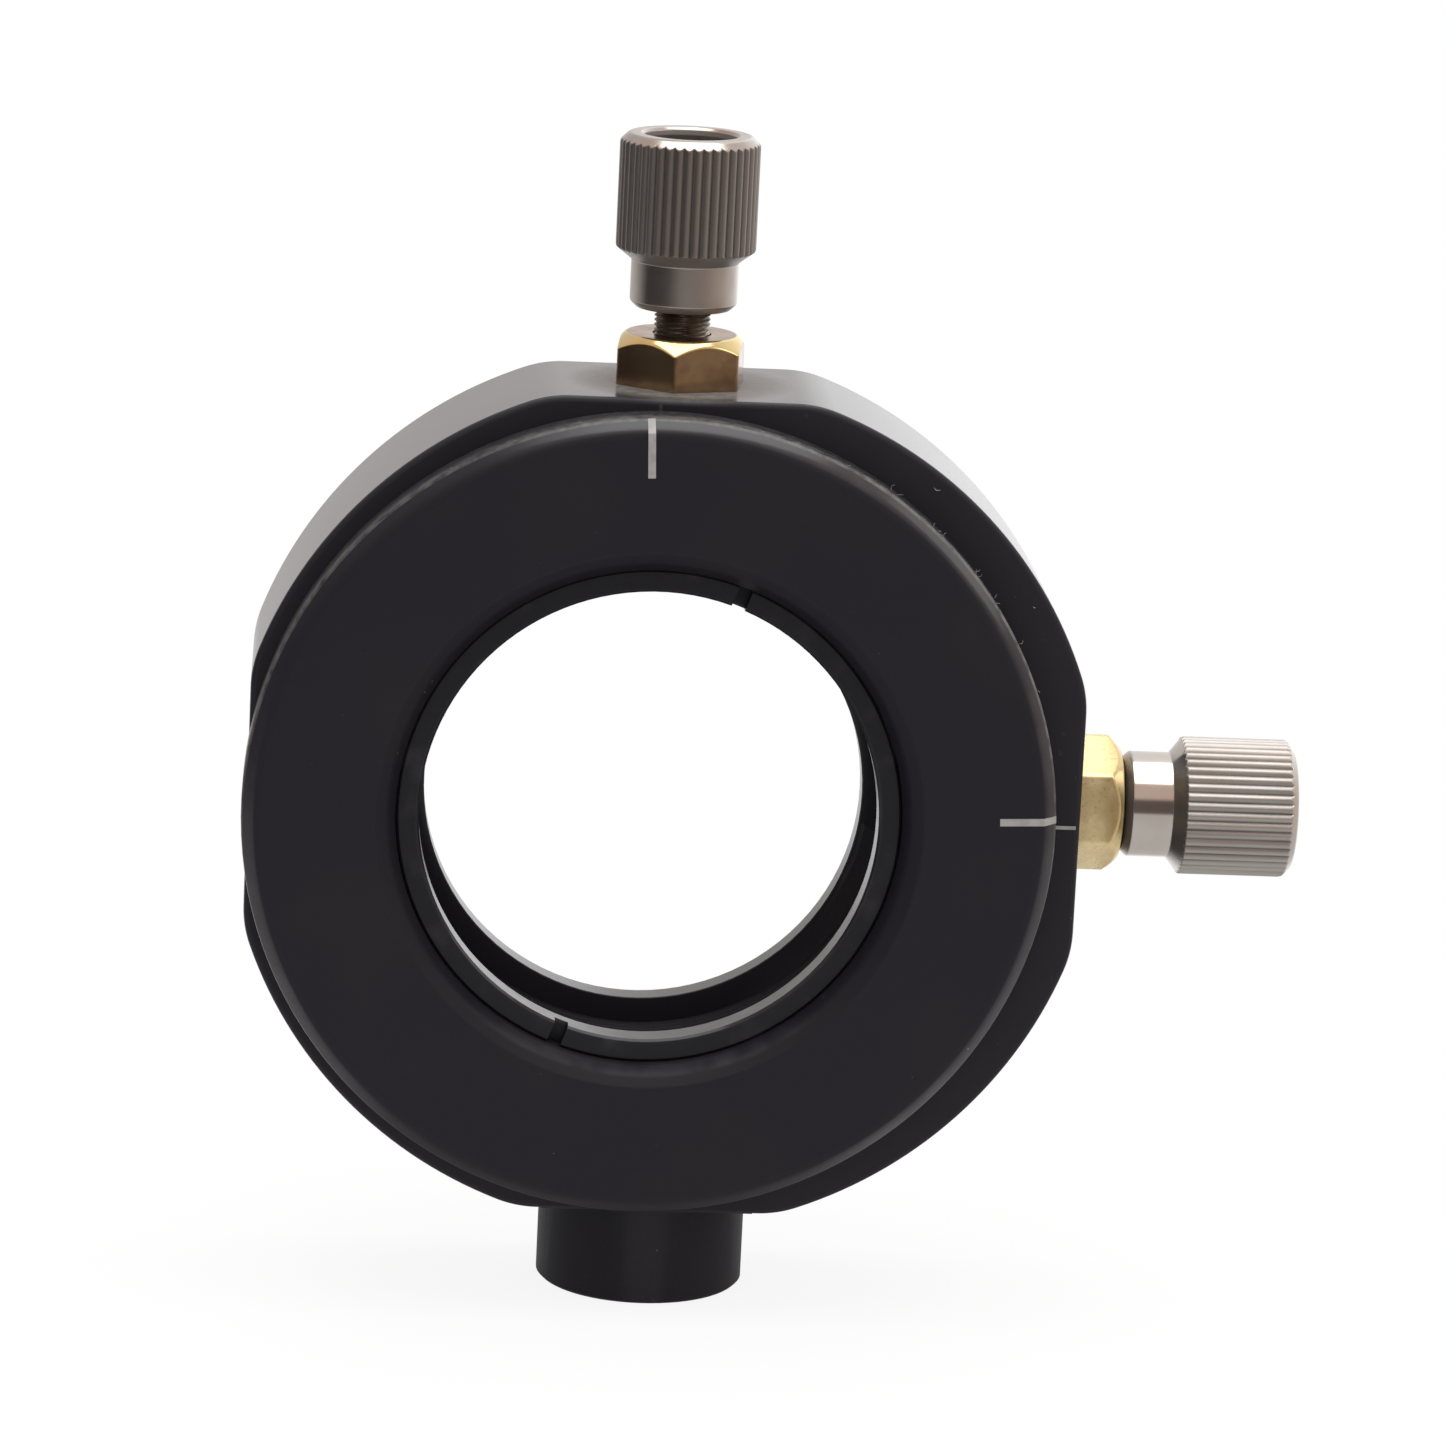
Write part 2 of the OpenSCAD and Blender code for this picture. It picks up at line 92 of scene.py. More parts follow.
class Wire:
    # One output of a shader node, used as a value in plain formulas
    def __init__(self, tree, socket=None):
        self.tree, self.socket = tree, socket

    def node(self, kind, settings=None, values=None, output=0):
        # Makes one node: settings first, then the values or links of its sockets
        made = self.tree.nodes.new("ShaderNode" + kind)
        for name, value in (settings or {}).items():
            if name == "stops":
                ramp = made.color_ramp
                while len(ramp.elements) < len(value):
                    ramp.elements.new(1)
                for element, (place, colour) in zip(ramp.elements, value):
                    element.position, element.color = place, (*colour, 1)
            else:
                setattr(made, name, value)
        for name, value in (values or {}).items():
            if isinstance(value, Wire):
                self.tree.links.new(value.socket, made.inputs[name])
            else:
                made.inputs[name].default_value = value
        return Wire(self.tree, made.outputs[output] if len(made.outputs) else None)

    def __getitem__(self, name):
        # Another output of the same node
        return Wire(self.tree, self.socket.node.outputs[name])

    def maths(self, operation, *others):
        return self.node("Math", {"operation": operation}, dict(enumerate((self, *others))))

    def __add__(self, other):
        return self.maths("ADD", other)

    def __sub__(self, other):
        return self.maths("SUBTRACT", other)

    def __mul__(self, other):
        return self.maths("MULTIPLY", other)

    def __rsub__(self, other):
        return self.node("Math", {"operation": "SUBTRACT"}, {0: other, 1: self})

    __radd__, __rmul__ = __add__, __mul__

    def ramp(self, low, high):
        # Smooth step: 0 below low, 1 above high
        return self.node("MapRange", {"interpolation_type": "SMOOTHSTEP"}, {0: self, 1: low, 2: high})

    def between(self, low, high, soft):
        # 1 from low to high, falling to 0 over a soft distance outside
        return self.ramp(low - soft, low) * (1 - self.ramp(high, high + soft))

    def blend(self, first, second, mode="MIX"):
        # Colour first where this mask is 0, second where it is 1
        first, second = ((*c, 1) if isinstance(c, tuple) else c for c in (first, second))
        return self.node("Mix", {"data_type": "RGBA", "blend_type": mode}, {0: self, 6: first, 7: second}, 2)

    def noise(self, scale, detail=2, roughness=0.5, stretch=(1, 1, 1)):
        # Noise at this place, stretched along the axes
        place = self.node("VectorMath", {"operation": "MULTIPLY"}, {0: self, 1: stretch})
        return self.node("TexNoise", {}, {
            "Vector": place, "Scale": scale, "Detail": detail, "Roughness": roughness})


materials = {}


def newTree(holder):
    # The emptied node tree of a material or of the world
    holder.use_nodes = True
    holder.node_tree.nodes.clear()
    return Wire(holder.node_tree)


def newMaterials(build, looks):
    # build gets the object coordinates and the settings and returns the sockets of one Principled shader
    for name, look in looks.items():
        materials[name] = bpy.data.materials.new(name)
        start = newTree(materials[name])
        shader = start.node("BsdfPrincipled", {}, build(start.node("TexCoord", output="Object"), look))
        shader.node("OutputMaterial", {}, {"Surface": shader})


def radiusFrom(at, centre, along):
    # Distance of a point from an axis that runs through centre along X, Y or Z
    flat = tuple(float(axis != along) for axis in "XYZ")
    offset = at.node("VectorMath", {"operation": "SUBTRACT"}, {0: at, 1: centre})
    across = at.node("VectorMath", {"operation": "MULTIPLY"}, {0: offset, 1: flat})
    return at.node("VectorMath", {"operation": "LENGTH"}, {0: across}, "Value")


def toolLines(distance, look):
    # Height of fine turned lines: a sine wave of the distance across them
    return (distance * (2 * math.pi / look["linePitch"])).maths("SINE")


def bump(height, distance, strength=1.0, normal=None):
    # The surface's normal over a height, on top of another one if given
    values = {"Height": height, "Distance": distance, "Strength": strength}
    if normal is not None:
        values["Normal"] = normal
    return height.node("Bump", {}, values)


# Black anodised aluminium: blasted faces, smooth sides under a clear seal, tool lines near the bore, dust
anodised = {
    "dye": (0.0066, 0.0056, 0.0108),
    "faded": (0.01, 0.0078, 0.0112),
    "rubbed": (0.036, 0.033, 0.04),
    "dust": (0.21, 0.196, 0.18),
    "grain": 0.085 * mm,
    "grainHeight": 0.006 * mm,
    "roughness": (0.46, 0.6),
    "specular": 0.22,
    "sealRoughness": 0.19,
    "sealIor": 1.5,
    "cloudScale": 120,
    "speckScale": 3400,
    "speckShare": (0.83, 0.87),
    "linePitch": 0.11 * mm,
    "lineHeight": 0.001 * mm,
}


def anodisedShader(at, look):
    radius = radiusFrom(at, look["centre"], "Y")
    place = at.node("SeparateXYZ", {}, {0: at})
    sealed, turned, rubbed, dusty = look["zones"](at, place, radius, look)
    grain = at.noise(1 / look["grain"], 2, 0.6)
    clouds = at.noise(look["cloudScale"], 3)
    specks = at.noise(look["speckScale"], 1).ramp(*look["speckShare"])
    faded = clouds.ramp(0.42, 0.78).blend(look["dye"], look["faded"])
    speckled = (specks * 0.5).blend(rubbed.blend(faded, look["rubbed"]), look["dust"])
    blasted = bump(grain, look["grainHeight"], 0.6)
    return {
        "Base Color": dusty.blend(speckled, look["dust"]),
        "Roughness": scaled(look["roughness"], clouds) + dusty * 0.2 + rubbed * 0.1,
        "Normal": bump(toolLines(radius, look) * turned, look["lineHeight"], 0.5, blasted),
        "Specular IOR Level": look["specular"],
        "Coat Weight": sealed * (1 - dusty),
        "Coat Roughness": look["sealRoughness"],
        "Coat IOR": look["sealIor"],
    }


def housingZones(at, place, radius, look):
    # The sealed, turned, rubbed and dusty shares: sealed on the outer sides, not on faces and boss; lines on the
    # boss; faces a little rubbed; dust scattered all over and settled round the upper bushing
    depth = place["Y"].maths("ABSOLUTE")
    sealed = radius.ramp(*look["sides"]) * (1 - depth.ramp(*look["faces"])) * place["Z"].ramp(*look["aboveBoss"])
    turned = 1 - place["Z"].ramp(*look["bossLines"])
    rubbed = depth.ramp(*look["rubbedFaces"]) * look["rubbedShare"]
    scattered = at.noise(700, 3).ramp(0.68, 0.82) * look["scattered"]
    footing = 1 - radiusFrom(at, (0, 0, 0), "Z").ramp(*look["footing"])
    onTop = place["Z"].ramp(*shifted(housingHigh.z, look["topFrom"]))
    settled = footing * onTop * scaled(look["settled"], at.noise(1900, 3).ramp(0.3, 0.7))
    return sealed, turned, rubbed, scattered.maths("MAXIMUM", settled)


housingBlack = {
    **anodised, "zones": housingZones, "centre": (0, 0, axisHeight),
    "sides": (20.9 * mm, 21.25 * mm),  # from the lens axis
    "faces": (5.15 * mm, 5.45 * mm), "rubbedFaces": (5.3 * mm, 5.5 * mm),  # from the middle plane
    "aboveBoss": (5.0 * mm, 5.3 * mm), "bossLines": (5.0 * mm, 5.2 * mm),  # from the floor
    "footing": (4.2 * mm, 6.2 * mm), "topFrom": (-0.4 * mm, 0.0),  # from the upper bushing's axis, and the top
    "rubbedShare": 0.28, "scattered": 0.2, "settled": (0.6, 0.9),
}


def cellZones(at, place, radius, look):
    # The same shares: sealed on bevel, rim and lip, but bare in two directions; lines near the bore; rubbed a little
    # all over, and painted lighter at the foot of the mouth as a highlight; dust along the upper rim
    across, upward = place["X"] - discCentre[0], place["Z"] - discCentre[2]
    bare, otherBare = (
        (across * math.cos(turn) + upward * math.sin(turn)).ramp(start, look["bareTo"])
        for turn, start in look["bareSides"])
    bare = bare.maths("MAXIMUM", otherBare)
    bevel = radius.ramp(*shifted(discRadius, look["bevel"]))
    lip = 1 - radius.ramp(*look["lip"])
    sealed = bevel.maths("MAXIMUM", lip) * (1 - bare * 0.95) * look["sealed"]
    turned = 1 - radius.ramp(*look["linesTo"])
    behind = place["Y"].ramp(*shifted(discFace, look["rimDepth"]))
    wall = radius.between(*shifted(discRadius, look["rim"]), 0.05 * mm) * (1 - behind * 0.8)
    upper = place["Z"].ramp(*shifted(axisHeight, look["upperRim"]))
    dusty = wall * upper * at.noise(1500, 3, 0.6).ramp(0.2, 0.7) * (look["dusty"] - bare * 0.3)
    patchy = bevel * at.noise(260, 3, 0.6).ramp(0.4, 0.7) * (1 - bare) * look["patchy"]
    lower = 1 - place["Z"].ramp(*shifted(axisHeight, look["foot"]))
    mouth = radius.between(*look["mouth"], 0.2 * mm) * lower * at.noise(500).ramp(0.3, 0.6)
    # Painted highlight: the foot of the mouth is lighter where it faces up, on top of a little rubbing all over
    rubbed = mouth * look["mouthRubbed"] + look["rubbedShare"]
    return sealed, turned, rubbed, dusty.maths("MAXIMUM", patchy)


cellBlack = {
    **anodised, "zones": cellZones, "centre": discCentre, "rubbed": (0.034, 0.032, 0.038),
    "bareSides": ((math.radians(138), 15.4 * mm), (math.radians(262), 13.9 * mm)), "bareTo": 19.9 * mm,
    "bevel": (-0.72 * mm, -0.52 * mm), "rim": (-0.1 * mm, 0.1 * mm),  # from the rim
    "rimDepth": (1.0 * mm, 1.9 * mm),  # behind the disc's face
    "lip": (11.75 * mm, 12.05 * mm), "mouth": (13.25 * mm, 13.6 * mm), "linesTo": (14.2 * mm, 14.5 * mm),
    "upperRim": (-4 * mm, 9 * mm), "foot": (-12.6 * mm, -9.6 * mm),  # above the lens axis
    # mouthRubbed: how much lighter the foot of the mouth is painted, as a highlight
    "sealed": 0.85, "dusty": 0.6, "patchy": 0.06, "mouthRubbed": 0.7, "rubbedShare": 0.16,
}
newMaterials(anodisedShader, {"housingBlack": housingBlack, "cellBlack": cellBlack})


# Black rings: turned all over, a little glossier, with fine lines round the axis
ringBlack = {
    "centre": discCentre,
    "dye": (0.01, 0.0095, 0.013),
    "rubbed": (0.022, 0.0205, 0.025),
    "roughness": (0.26, 0.42),
    "specular": 0.22,
    "sealRoughness": 0.1,
    "sealIor": 1.5,
    "sealed": 0.5,
    "wall": (12.0 * mm, 12.15 * mm),
    "linePitch": 0.09 * mm,
    "lineHeight": 0.0014 * mm,
    "lineWander": 0.03 * mm,
}


def ringShader(at, look):
    radius = radiusFrom(at, look["centre"], "Y")
    clouds = at.noise(900)
    lines = toolLines(radius + clouds * look["lineWander"], look)
    rubbed = at.noise(420, 3).ramp(0.52, 0.78)
    return {
        "Base Color": rubbed.blend(look["dye"], look["rubbed"]),
        "Roughness": scaled(look["roughness"], clouds),
        "Normal": bump(lines, look["lineHeight"], 0.6),
        "Specular IOR Level": look["specular"],
        "Coat Weight": (1 - radius.ramp(*look["wall"])) * look["sealed"],
        "Coat Roughness": look["sealRoughness"],
        "Coat IOR": look["sealIor"],
    }


newMaterials(ringShader, {"ringBlack": ringBlack})


# Stainless knobs: bright turned collar and end, duller knurl with brownish grime in its grooves, and painted shade
# on the slopes as a dark film colour; stations are counted from the foot of the collar
steelKnob = {
    # film: a dark colour painted on the slopes as their shade
    "film": (0.07, 0.06, 0.055),
    "grime": (0.06, 0.047, 0.04),
    "grooves": (3.49 * mm, 3.6 * mm),
    "hollow": (2.37 * mm, 2.47 * mm),
    "knurl": (3.15 * mm, 8.65 * mm),
    "foot": (0.34 * mm, 0.42 * mm),
    "cone": (2.52 * mm, 3.12 * mm),
    "linePitch": 0.07 * mm,
    "lineHeight": 0.00015 * mm,
    "lineWander": 0.04 * mm,
}
topKnobSteel = {
    **steelKnob, "centre": (0, 0, 0), "along": "Z", "start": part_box("top_knob")[0].z,
    # The top knob's clean, warm and dull colours are darker than the right knob's: painted shade on the same steel
    "clean": (0.52, 0.49, 0.46), "warm": (0.42, 0.33, 0.29), "dull": (0.30, 0.28, 0.265),
    "streak": (1, 1, 0.05), "uneven": 0.5, "dulled": 0.9, "grimy": 0.85, "matt": 0.2, "roughness": (0.16, 0.28),
    "filmed": 0.6, "filmReach": (90 * mm, 91 * mm),  # all over
}
rightKnobSteel = {
    **steelKnob, "centre": (0, 0, axisHeight), "along": "X", "start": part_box("right_knob")[0].x,
    "clean": (0.64, 0.605, 0.565), "warm": (0.56, 0.49, 0.45), "dull": (0.45, 0.435, 0.42),
    "streak": (0.05, 1, 1), "uneven": 1.7, "dulled": 0.6, "grimy": 0.45, "matt": 0.42, "roughness": (0.08, 0.17),
    "filmed": 0.95, "filmReach": (1.8 * mm, 3.1 * mm),  # above and below the lens axis
}


def knobShader(at, look):
    radius = radiusFrom(at, look["centre"], look["along"])
    parts = at.node("SeparateXYZ", {}, {0: at})
    place = parts[look["along"]]
    clouds = at.noise(330, 4)
    streaks = at.noise(1500, 3, 0.6, look["streak"])
    lines = toolLines(place + clouds * look["lineWander"], look)
    knurl, foot, cone = (shifted(look["start"], look[name]) for name in ("knurl", "foot", "cone"))
    knurled = place.between(*knurl, 0.1 * mm)
    hollow = 1 - radius.ramp(*look["hollow"])
    uneven = (streaks - 0.5) * look["uneven"]
    deep = (1 - radius.ramp(*look["grooves"])) * knurled * (uneven + look["grimy"])
    fromAxis = (parts["Z"] - axisHeight).maths("ABSOLUTE")
    slopes = 1 - place.ramp(*foot) + place.between(*cone, 0.08 * mm)
    # Painted shade: the slopes get the dark film colour, on the right knob only near the height of the lens axis
    film = slopes * (1 - fromAxis.ramp(*look["filmReach"])) * look["filmed"]
    metal = (clouds.ramp(0.42, 0.72) * 0.6).blend(look["clean"], look["warm"])
    dulled = (knurled * (uneven + look["dulled"]) + hollow * 0.7).blend(metal, look["dull"])
    matt = knurled * look["matt"] + deep * 0.2 + hollow * 0.4 + film * 0.2
    return {
        "Base Color": deep.blend(film.blend(dulled, look["film"]), look["grime"]),
        "Metallic": 1 - deep * 0.4 - film * 0.5 - hollow * 0.5,
        "Roughness": scaled(look["roughness"], streaks) + matt,
        "Normal": bump(lines, look["lineHeight"], 0.5, bump(streaks, 0.004 * mm, 0.4)),
    }


newMaterials(knobShader, {"topKnobSteel": topKnobSteel, "rightKnobSteel": rightKnobSteel})


# Brass bushings: tarnished facets with darker flecks, a bright worn chamfer, and a pale dry film in places
brass = {
    "bright": (0.84, 0.66, 0.31),
    "fleck": (0.30, 0.19, 0.07),
    "film": (0.90, 0.76, 0.44),
    "faceRadius": 2.9 * mm,
    "coneSlope": 1.021,
    "wornFrom": (-0.09 * mm, -0.02 * mm),
    "stainFrom": (-1.7 * mm, -0.3 * mm),
    "roughness": (0.12, 0.24),
}
topBrass = {
    **brass, "centre": (0, 0, 0), "along": "Z", "end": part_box("top_bushing")[1].z, "tarnish": (0.28, 0.175, 0.115),
    "tarnished": 0.95, "filmed": 0.05, "flecked": 0.1, "stained": 0.0, "worn": 0.88,
}
rightBrass = {
    **brass, "centre": (0, 0, axisHeight), "along": "X", "end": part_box("right_bushing")[1].x,
    "tarnish": (0.46, 0.29, 0.11), "tarnished": 0.25, "filmed": 0.75, "flecked": 0.6, "stained": 0.5, "worn": 0.4,
}


def brassShader(at, look):
    # worn = where the distance outside the cone and the radius both pass the edge of the end face
    place = at.node("SeparateXYZ", {}, {0: at})[look["along"]]
    radius = radiusFrom(at, look["centre"], look["along"])
    edge = look["faceRadius"]
    clouds = at.noise(420, 4, 0.62)
    flecks = at.noise(5200, 3, 0.7).ramp(0.56, 0.72) * look["flecked"]
    stained = place.ramp(*shifted(look["end"], look["stainFrom"])) * look["stained"]
    film = (at.noise(760).ramp(0.35, 0.75) * 0.4 + 0.6) * look["filmed"] * (1 - stained)
    overCone = radius + (place - look["end"]) * look["coneSlope"] - edge
    worn = overCone.ramp(*look["wornFrom"]) * radius.ramp(edge - 0.15 * mm, edge) * look["worn"]
    tarnished = (clouds.ramp(0.35, 0.75) * 0.45 + look["tarnished"] + stained - 0.2) * (1 - worn)
    metal = tarnished.blend(look["bright"], look["tarnish"])
    return {
        "Base Color": flecks.blend(film.blend(metal, look["film"]), look["fleck"]),
        "Metallic": 1 - film * 0.65,
        "Roughness": scaled(look["roughness"], clouds) + film * 0.15,
        "Normal": bump(flecks, -0.004 * mm, 0.3),
    }


newMaterials(brassShader, {"topBrass": topBrass, "rightBrass": rightBrass})


# Other metals: plain turned or ground steel, each with its colours, roughness and grain, and the cut marks
steels = {
    "screwSteel": {"clean": (0.3, 0.26, 0.23), "stained": (0.14, 0.1, 0.08), "roughness": (0.25, 0.45), "scale": 900},
    "hardSteel": {"clean": (0.66, 0.65, 0.64), "stained": (0.5, 0.48, 0.46), "roughness": (0.1, 0.2), "scale": 1500},
    "springSteel": {
        "clean": (0.55, 0.53, 0.5), "stained": (0.36, 0.32, 0.28), "roughness": (0.22, 0.36), "scale": 2400},
    "cutMark": {
        "clean": (0.33, 0.32, 0.31), "stained": (0.27, 0.26, 0.25), "roughness": (0.5, 0.6), "scale": 1800,
        "metallic": 0.25},
}
# A much darker copy of the cut mark for the top datum line: a painted shadow of the upper bushing
steels["paintedShadowMark"] = {**steels["cutMark"], "clean": (0.055, 0.048, 0.042), "stained": (0.03, 0.026, 0.023)}


def steelShader(at, look):
    clouds = at.noise(look["scale"], 4)
    return {
        "Base Color": clouds.ramp(0.4, 0.7).blend(look["clean"], look["stained"]),
        "Metallic": look.get("metallic", 1.0),
        "Roughness": scaled(look["roughness"], clouds),
        "Normal": bump(clouds, 0.004 * mm, 0.4),
    }


newMaterials(steelShader, steels)


# Slide washers: plain waxy plastic
slidePlastic = {
    "pale": (0.72, 0.70, 0.62), "greased": (0.46, 0.43, 0.35), "roughness": (0.32, 0.52),
    "scattered": 0.1, "scatterReach": (0.8 * mm, 0.7 * mm, 0.5 * mm),
}


def plasticShader(at, look):
    clouds = at.noise(300, 4)
    return {
        "Base Color": clouds.ramp(0.45, 0.75).blend(look["pale"], look["greased"]),
        "Roughness": scaled(look["roughness"], clouds),
        "Normal": bump(at.noise(5200), 0.003 * mm, 0.4),
        "Subsurface Weight": look["scattered"],
        "Subsurface Radius": look["scatterReach"],
    }


newMaterials(plasticShader, {"slidePlastic": slidePlastic})


# Lint and fibres caught on the edges
lint = {"pale": (0.26, 0.25, 0.24), "dull": (0.15, 0.145, 0.14), "roughness": (0.8, 0.9)}


def lintShader(at, look):
    clouds = at.noise(4000, 1)
    return {"Base Color": clouds.blend(look["pale"], look["dull"]), "Roughness": scaled(look["roughness"], clouds)}


newMaterials(lintShader, {"lint": lint})
nodeFinish = {
    "housingBlack": ["housing"], "cellBlack": ["lens_cell"], "ringBlack": ["retaining_ring", "keeper_ring"],
    "slidePlastic": ["front_slide_washer", "rear_slide_washer"],
    "topKnobSteel": ["top_knob"], "rightKnobSteel": ["right_knob"],
    "topBrass": ["top_bushing"], "rightBrass": ["right_bushing"],
    "screwSteel": ["top_screw", "right_screw", "lower_plunger", "left_plunger"],
    "hardSteel": ["top_ball", "right_ball", "top_wear_pad", "right_wear_pad"],
    "springSteel": ["lower_spring", "left_spring"],
}
for finish, names in nodeFinish.items():
    for name in names:
        nodes[name].data.materials.clear()
        nodes[name].data.materials.append(materials[finish])
print("materials made:", len(materials))


def unit(vectors):
    return vectors / np.linalg.norm(vectors, axis=1, keepdims=True)


def softened(corners, setbacks, steps=4, closed=True):
    # Each corner becomes a parabola between the two points that lie its setback away along its sides
    corner = np.asarray(corners, float)
    setback = np.asarray(setbacks, float)[:, None]
    before, after = np.roll(corner, 1, 0) - corner, np.roll(corner, -1, 0) - corner
    if not closed:
        before[0], after[-1] = after[0], before[-1]
    first, last = corner + unit(before) * setback, corner + unit(after) * setback
    first, middle, last = (points[:, None] for points in (first, corner, last))
    t = np.linspace(0, 1, steps + 1)[None, :, None]
    return ((1 - t) ** 2 * first + 2 * t * (1 - t) * middle + t ** 2 * last).reshape(-1, 2)


def finer(profile, low, high, spacing):
    # Adds stations at even steps along a profile where its radius lies between low and high
    step = np.linalg.norm(np.diff(profile, axis=0), axis=1)
    length = np.concatenate([[0], np.cumsum(step)])
    extra = np.arange(0, length[-1], spacing)
    radius = np.interp(extra, length, profile[:, 0])
    stations = np.unique(np.round(np.concatenate([length, extra[(radius > low) & (radius < high)]]), 6))
    return np.column_stack([np.interp(stations, length, profile[:, k]) for k in (0, 1)])


def ridgeWave(turns, steepness, base):
    # A triangle wave of the turns, 0 at whole ones and 1 between them, steepened and cut off at 0 and 1
    wave = 1 - np.abs((turns % 1) * 2 - 1)
    return np.clip(wave * steepness - base, 0, 1)


def fadedEnds(along, low, high, reach):
    # 0 at both ends of a stretch, 1 from the reach inwards
    return np.clip((along - low) / reach, 0, 1) * np.clip((high - along) / reach, 0, 1)


def evenAngles(count):
    return np.linspace(0, 2 * np.pi, count, endpoint=False)


def turnedGrid(radius, along, angle, place):
    # point = centre + radius x (cos, sin of the angle across) + distance along the axis; millimetres in, metres out
    radius, along, angle = (v[..., None] for v in np.broadcast_arrays(radius, along, angle))
    centre, first, second, axis = (np.asarray(v, float) for v in place)
    return centre + mm * (radius * (np.cos(angle) * first + np.sin(angle) * second) + along * axis)


def quadsBetween(index):
    # Quads between the neighbouring points of one or more grids
    corners = index[..., :-1, :-1], index[..., :-1, 1:], index[..., 1:, 1:], index[..., 1:, :-1]
    return np.stack(corners, axis=-1).reshape(-1, 4)


def endsClosed(rings):
    # Adds the middle of the first and of the last ring, as a ring of its own
    first, last = (np.broadcast_to(ring.mean(axis=0), (1, *ring.shape)) for ring in (rings[0], rings[-1]))
    return np.concatenate([first, rings, last])


def shadeSmooth(mesh, sharp):
    # Smooth shading, but sharp where faces meet at more than this many degrees
    mesh.polygons.foreach_set("use_smooth", np.ones(len(mesh.polygons), bool))
    mesh.set_sharp_from_angle(angle=math.radians(sharp))


def placed(name, data):
    # A new object in the scene, at the origin
    made = bpy.data.objects.new(name, data)
    bpy.context.scene.collection.objects.link(made)
    return made


def meshObject(name, points, material, sharp, closedRows=False):
    # A surface through grids of points; columns close round the axis, and poles are merged
    rows, columns = points.shape[-3:-1]
    index = np.arange(points.size // 3).reshape(-1, rows, columns)
    index = np.concatenate([index, index[..., :1]], axis=2)
    if closedRows:
        index = np.concatenate([index, index[:, :1]], axis=1)
    mesh = bpy.data.meshes.new(name)
    mesh.from_pydata(points.reshape(-1, 3), [], quadsBetween(index))
    shape = bmesh.new()
    shape.from_mesh(mesh)
    bmesh.ops.remove_doubles(shape, verts=shape.verts, dist=1e-7)
    bmesh.ops.dissolve_degenerate(shape, edges=shape.edges, dist=1e-8)
    bmesh.ops.recalc_face_normals(shape, faces=shape.faces)
    shape.to_mesh(mesh)
    shape.free()
    shadeSmooth(mesh, sharp)
    mesh.materials.append(materials[material])
    return placed(name, mesh)


def newPiece(name, points, material, body, replaced=(), closedRows=False, sharp=40):
    # A surface that rides a body, in place of the nodes that it replaces
    piece = meshObject(name, points, material, sharp, closedRows)
    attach(piece, body)
    if replaced:
        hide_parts(*replaced)


# Rounded edges of the housing and the lens cell: their widths, and where they lie (millimetres)
edges = {
    "foot": 0.1, "rim": 0.09, "bevel": 0.42, "mouth": 0.08, "lip": 0.07, "segments": 4, "sharp": 25,
    "footTop": 0.4, "frontFrom": -5, "bevelFrom": 20, "mouthFrom": (12.5, -6.5), "lipRadius": 11.58, "near": 0.2,
}


def applyModifiers(piece):
    finished = piece.evaluated_get(bpy.context.evaluated_depsgraph_get())
    piece.data = bpy.data.meshes.new_from_object(finished)
    piece.modifiers.clear()


def roundedCopy(name, node, body, widthAt, cutter=None):
    # A merged copy of a node; widthAt gives the width of the rounding from the middle points of the edges, and
    # what lies inside the cutter is taken away
    mesh = nodes[node].data.copy()
    mesh.name = name
    shape = bmesh.new()
    shape.from_mesh(mesh)
    bmesh.ops.remove_doubles(shape, verts=shape.verts, dist=1e-6)
    bmesh.ops.dissolve_limit(shape, angle_limit=math.radians(0.5), verts=shape.verts, edges=shape.edges)
    shape.to_mesh(mesh)
    shape.free()
    shadeSmooth(mesh, edges["sharp"])
    points = np.empty(len(mesh.vertices) * 3)
    mesh.vertices.foreach_get("co", points)
    ends = np.empty(len(mesh.edges) * 2, int)
    mesh.edges.foreach_get("vertices", ends)
    middles = points.reshape(-1, 3)[ends.reshape(-1, 2)].mean(axis=1) / mm
    creased = np.empty(len(mesh.edges), bool)
    mesh.attributes["sharp_edge"].data.foreach_get("value", creased)
    width = widthAt(middles) * creased
    mesh.attributes["sharp_edge"].data.foreach_set("value", creased & (width == 0))
    weight = mesh.attributes.new("bevel_weight_edge", "FLOAT", "EDGE")
    weight.data.foreach_set("value", width / width.max())
    piece = placed(name, mesh)
    rounding = piece.modifiers.new("rounding", "BEVEL")
    rounding.limit_method, rounding.width, rounding.segments = "WEIGHT", width.max() * mm, edges["segments"]
    rounding.use_clamp_overlap = False
    if cutter:
        trim = piece.modifiers.new("trim", "BOOLEAN")
        trim.operation, trim.solver, trim.object = "DIFFERENCE", "MANIFOLD", cutter
        applyModifiers(piece)
        bpy.data.objects.remove(cutter)
        shadeSmooth(piece.data, edges["sharp"])
    piece.modifiers.new("flats", "WEIGHTED_NORMAL").keep_sharp = True
    applyModifiers(piece)
    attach(piece, body)
    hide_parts(node)


# Outline of the housing: four flats and four round sides joined by arcs, with rounded chamfers (millimetres)
outline = {
    "cornerRadius": 6.0, "roundRise": 1.05, "chamfer": 0.2, "softening": 0.14, "openFrom": 5.6,
    "skin": 0.012, "proud": 0.001, "reach": (1.5, 0.4), "cornerSteps": 9, "sideSteps": 31,
}


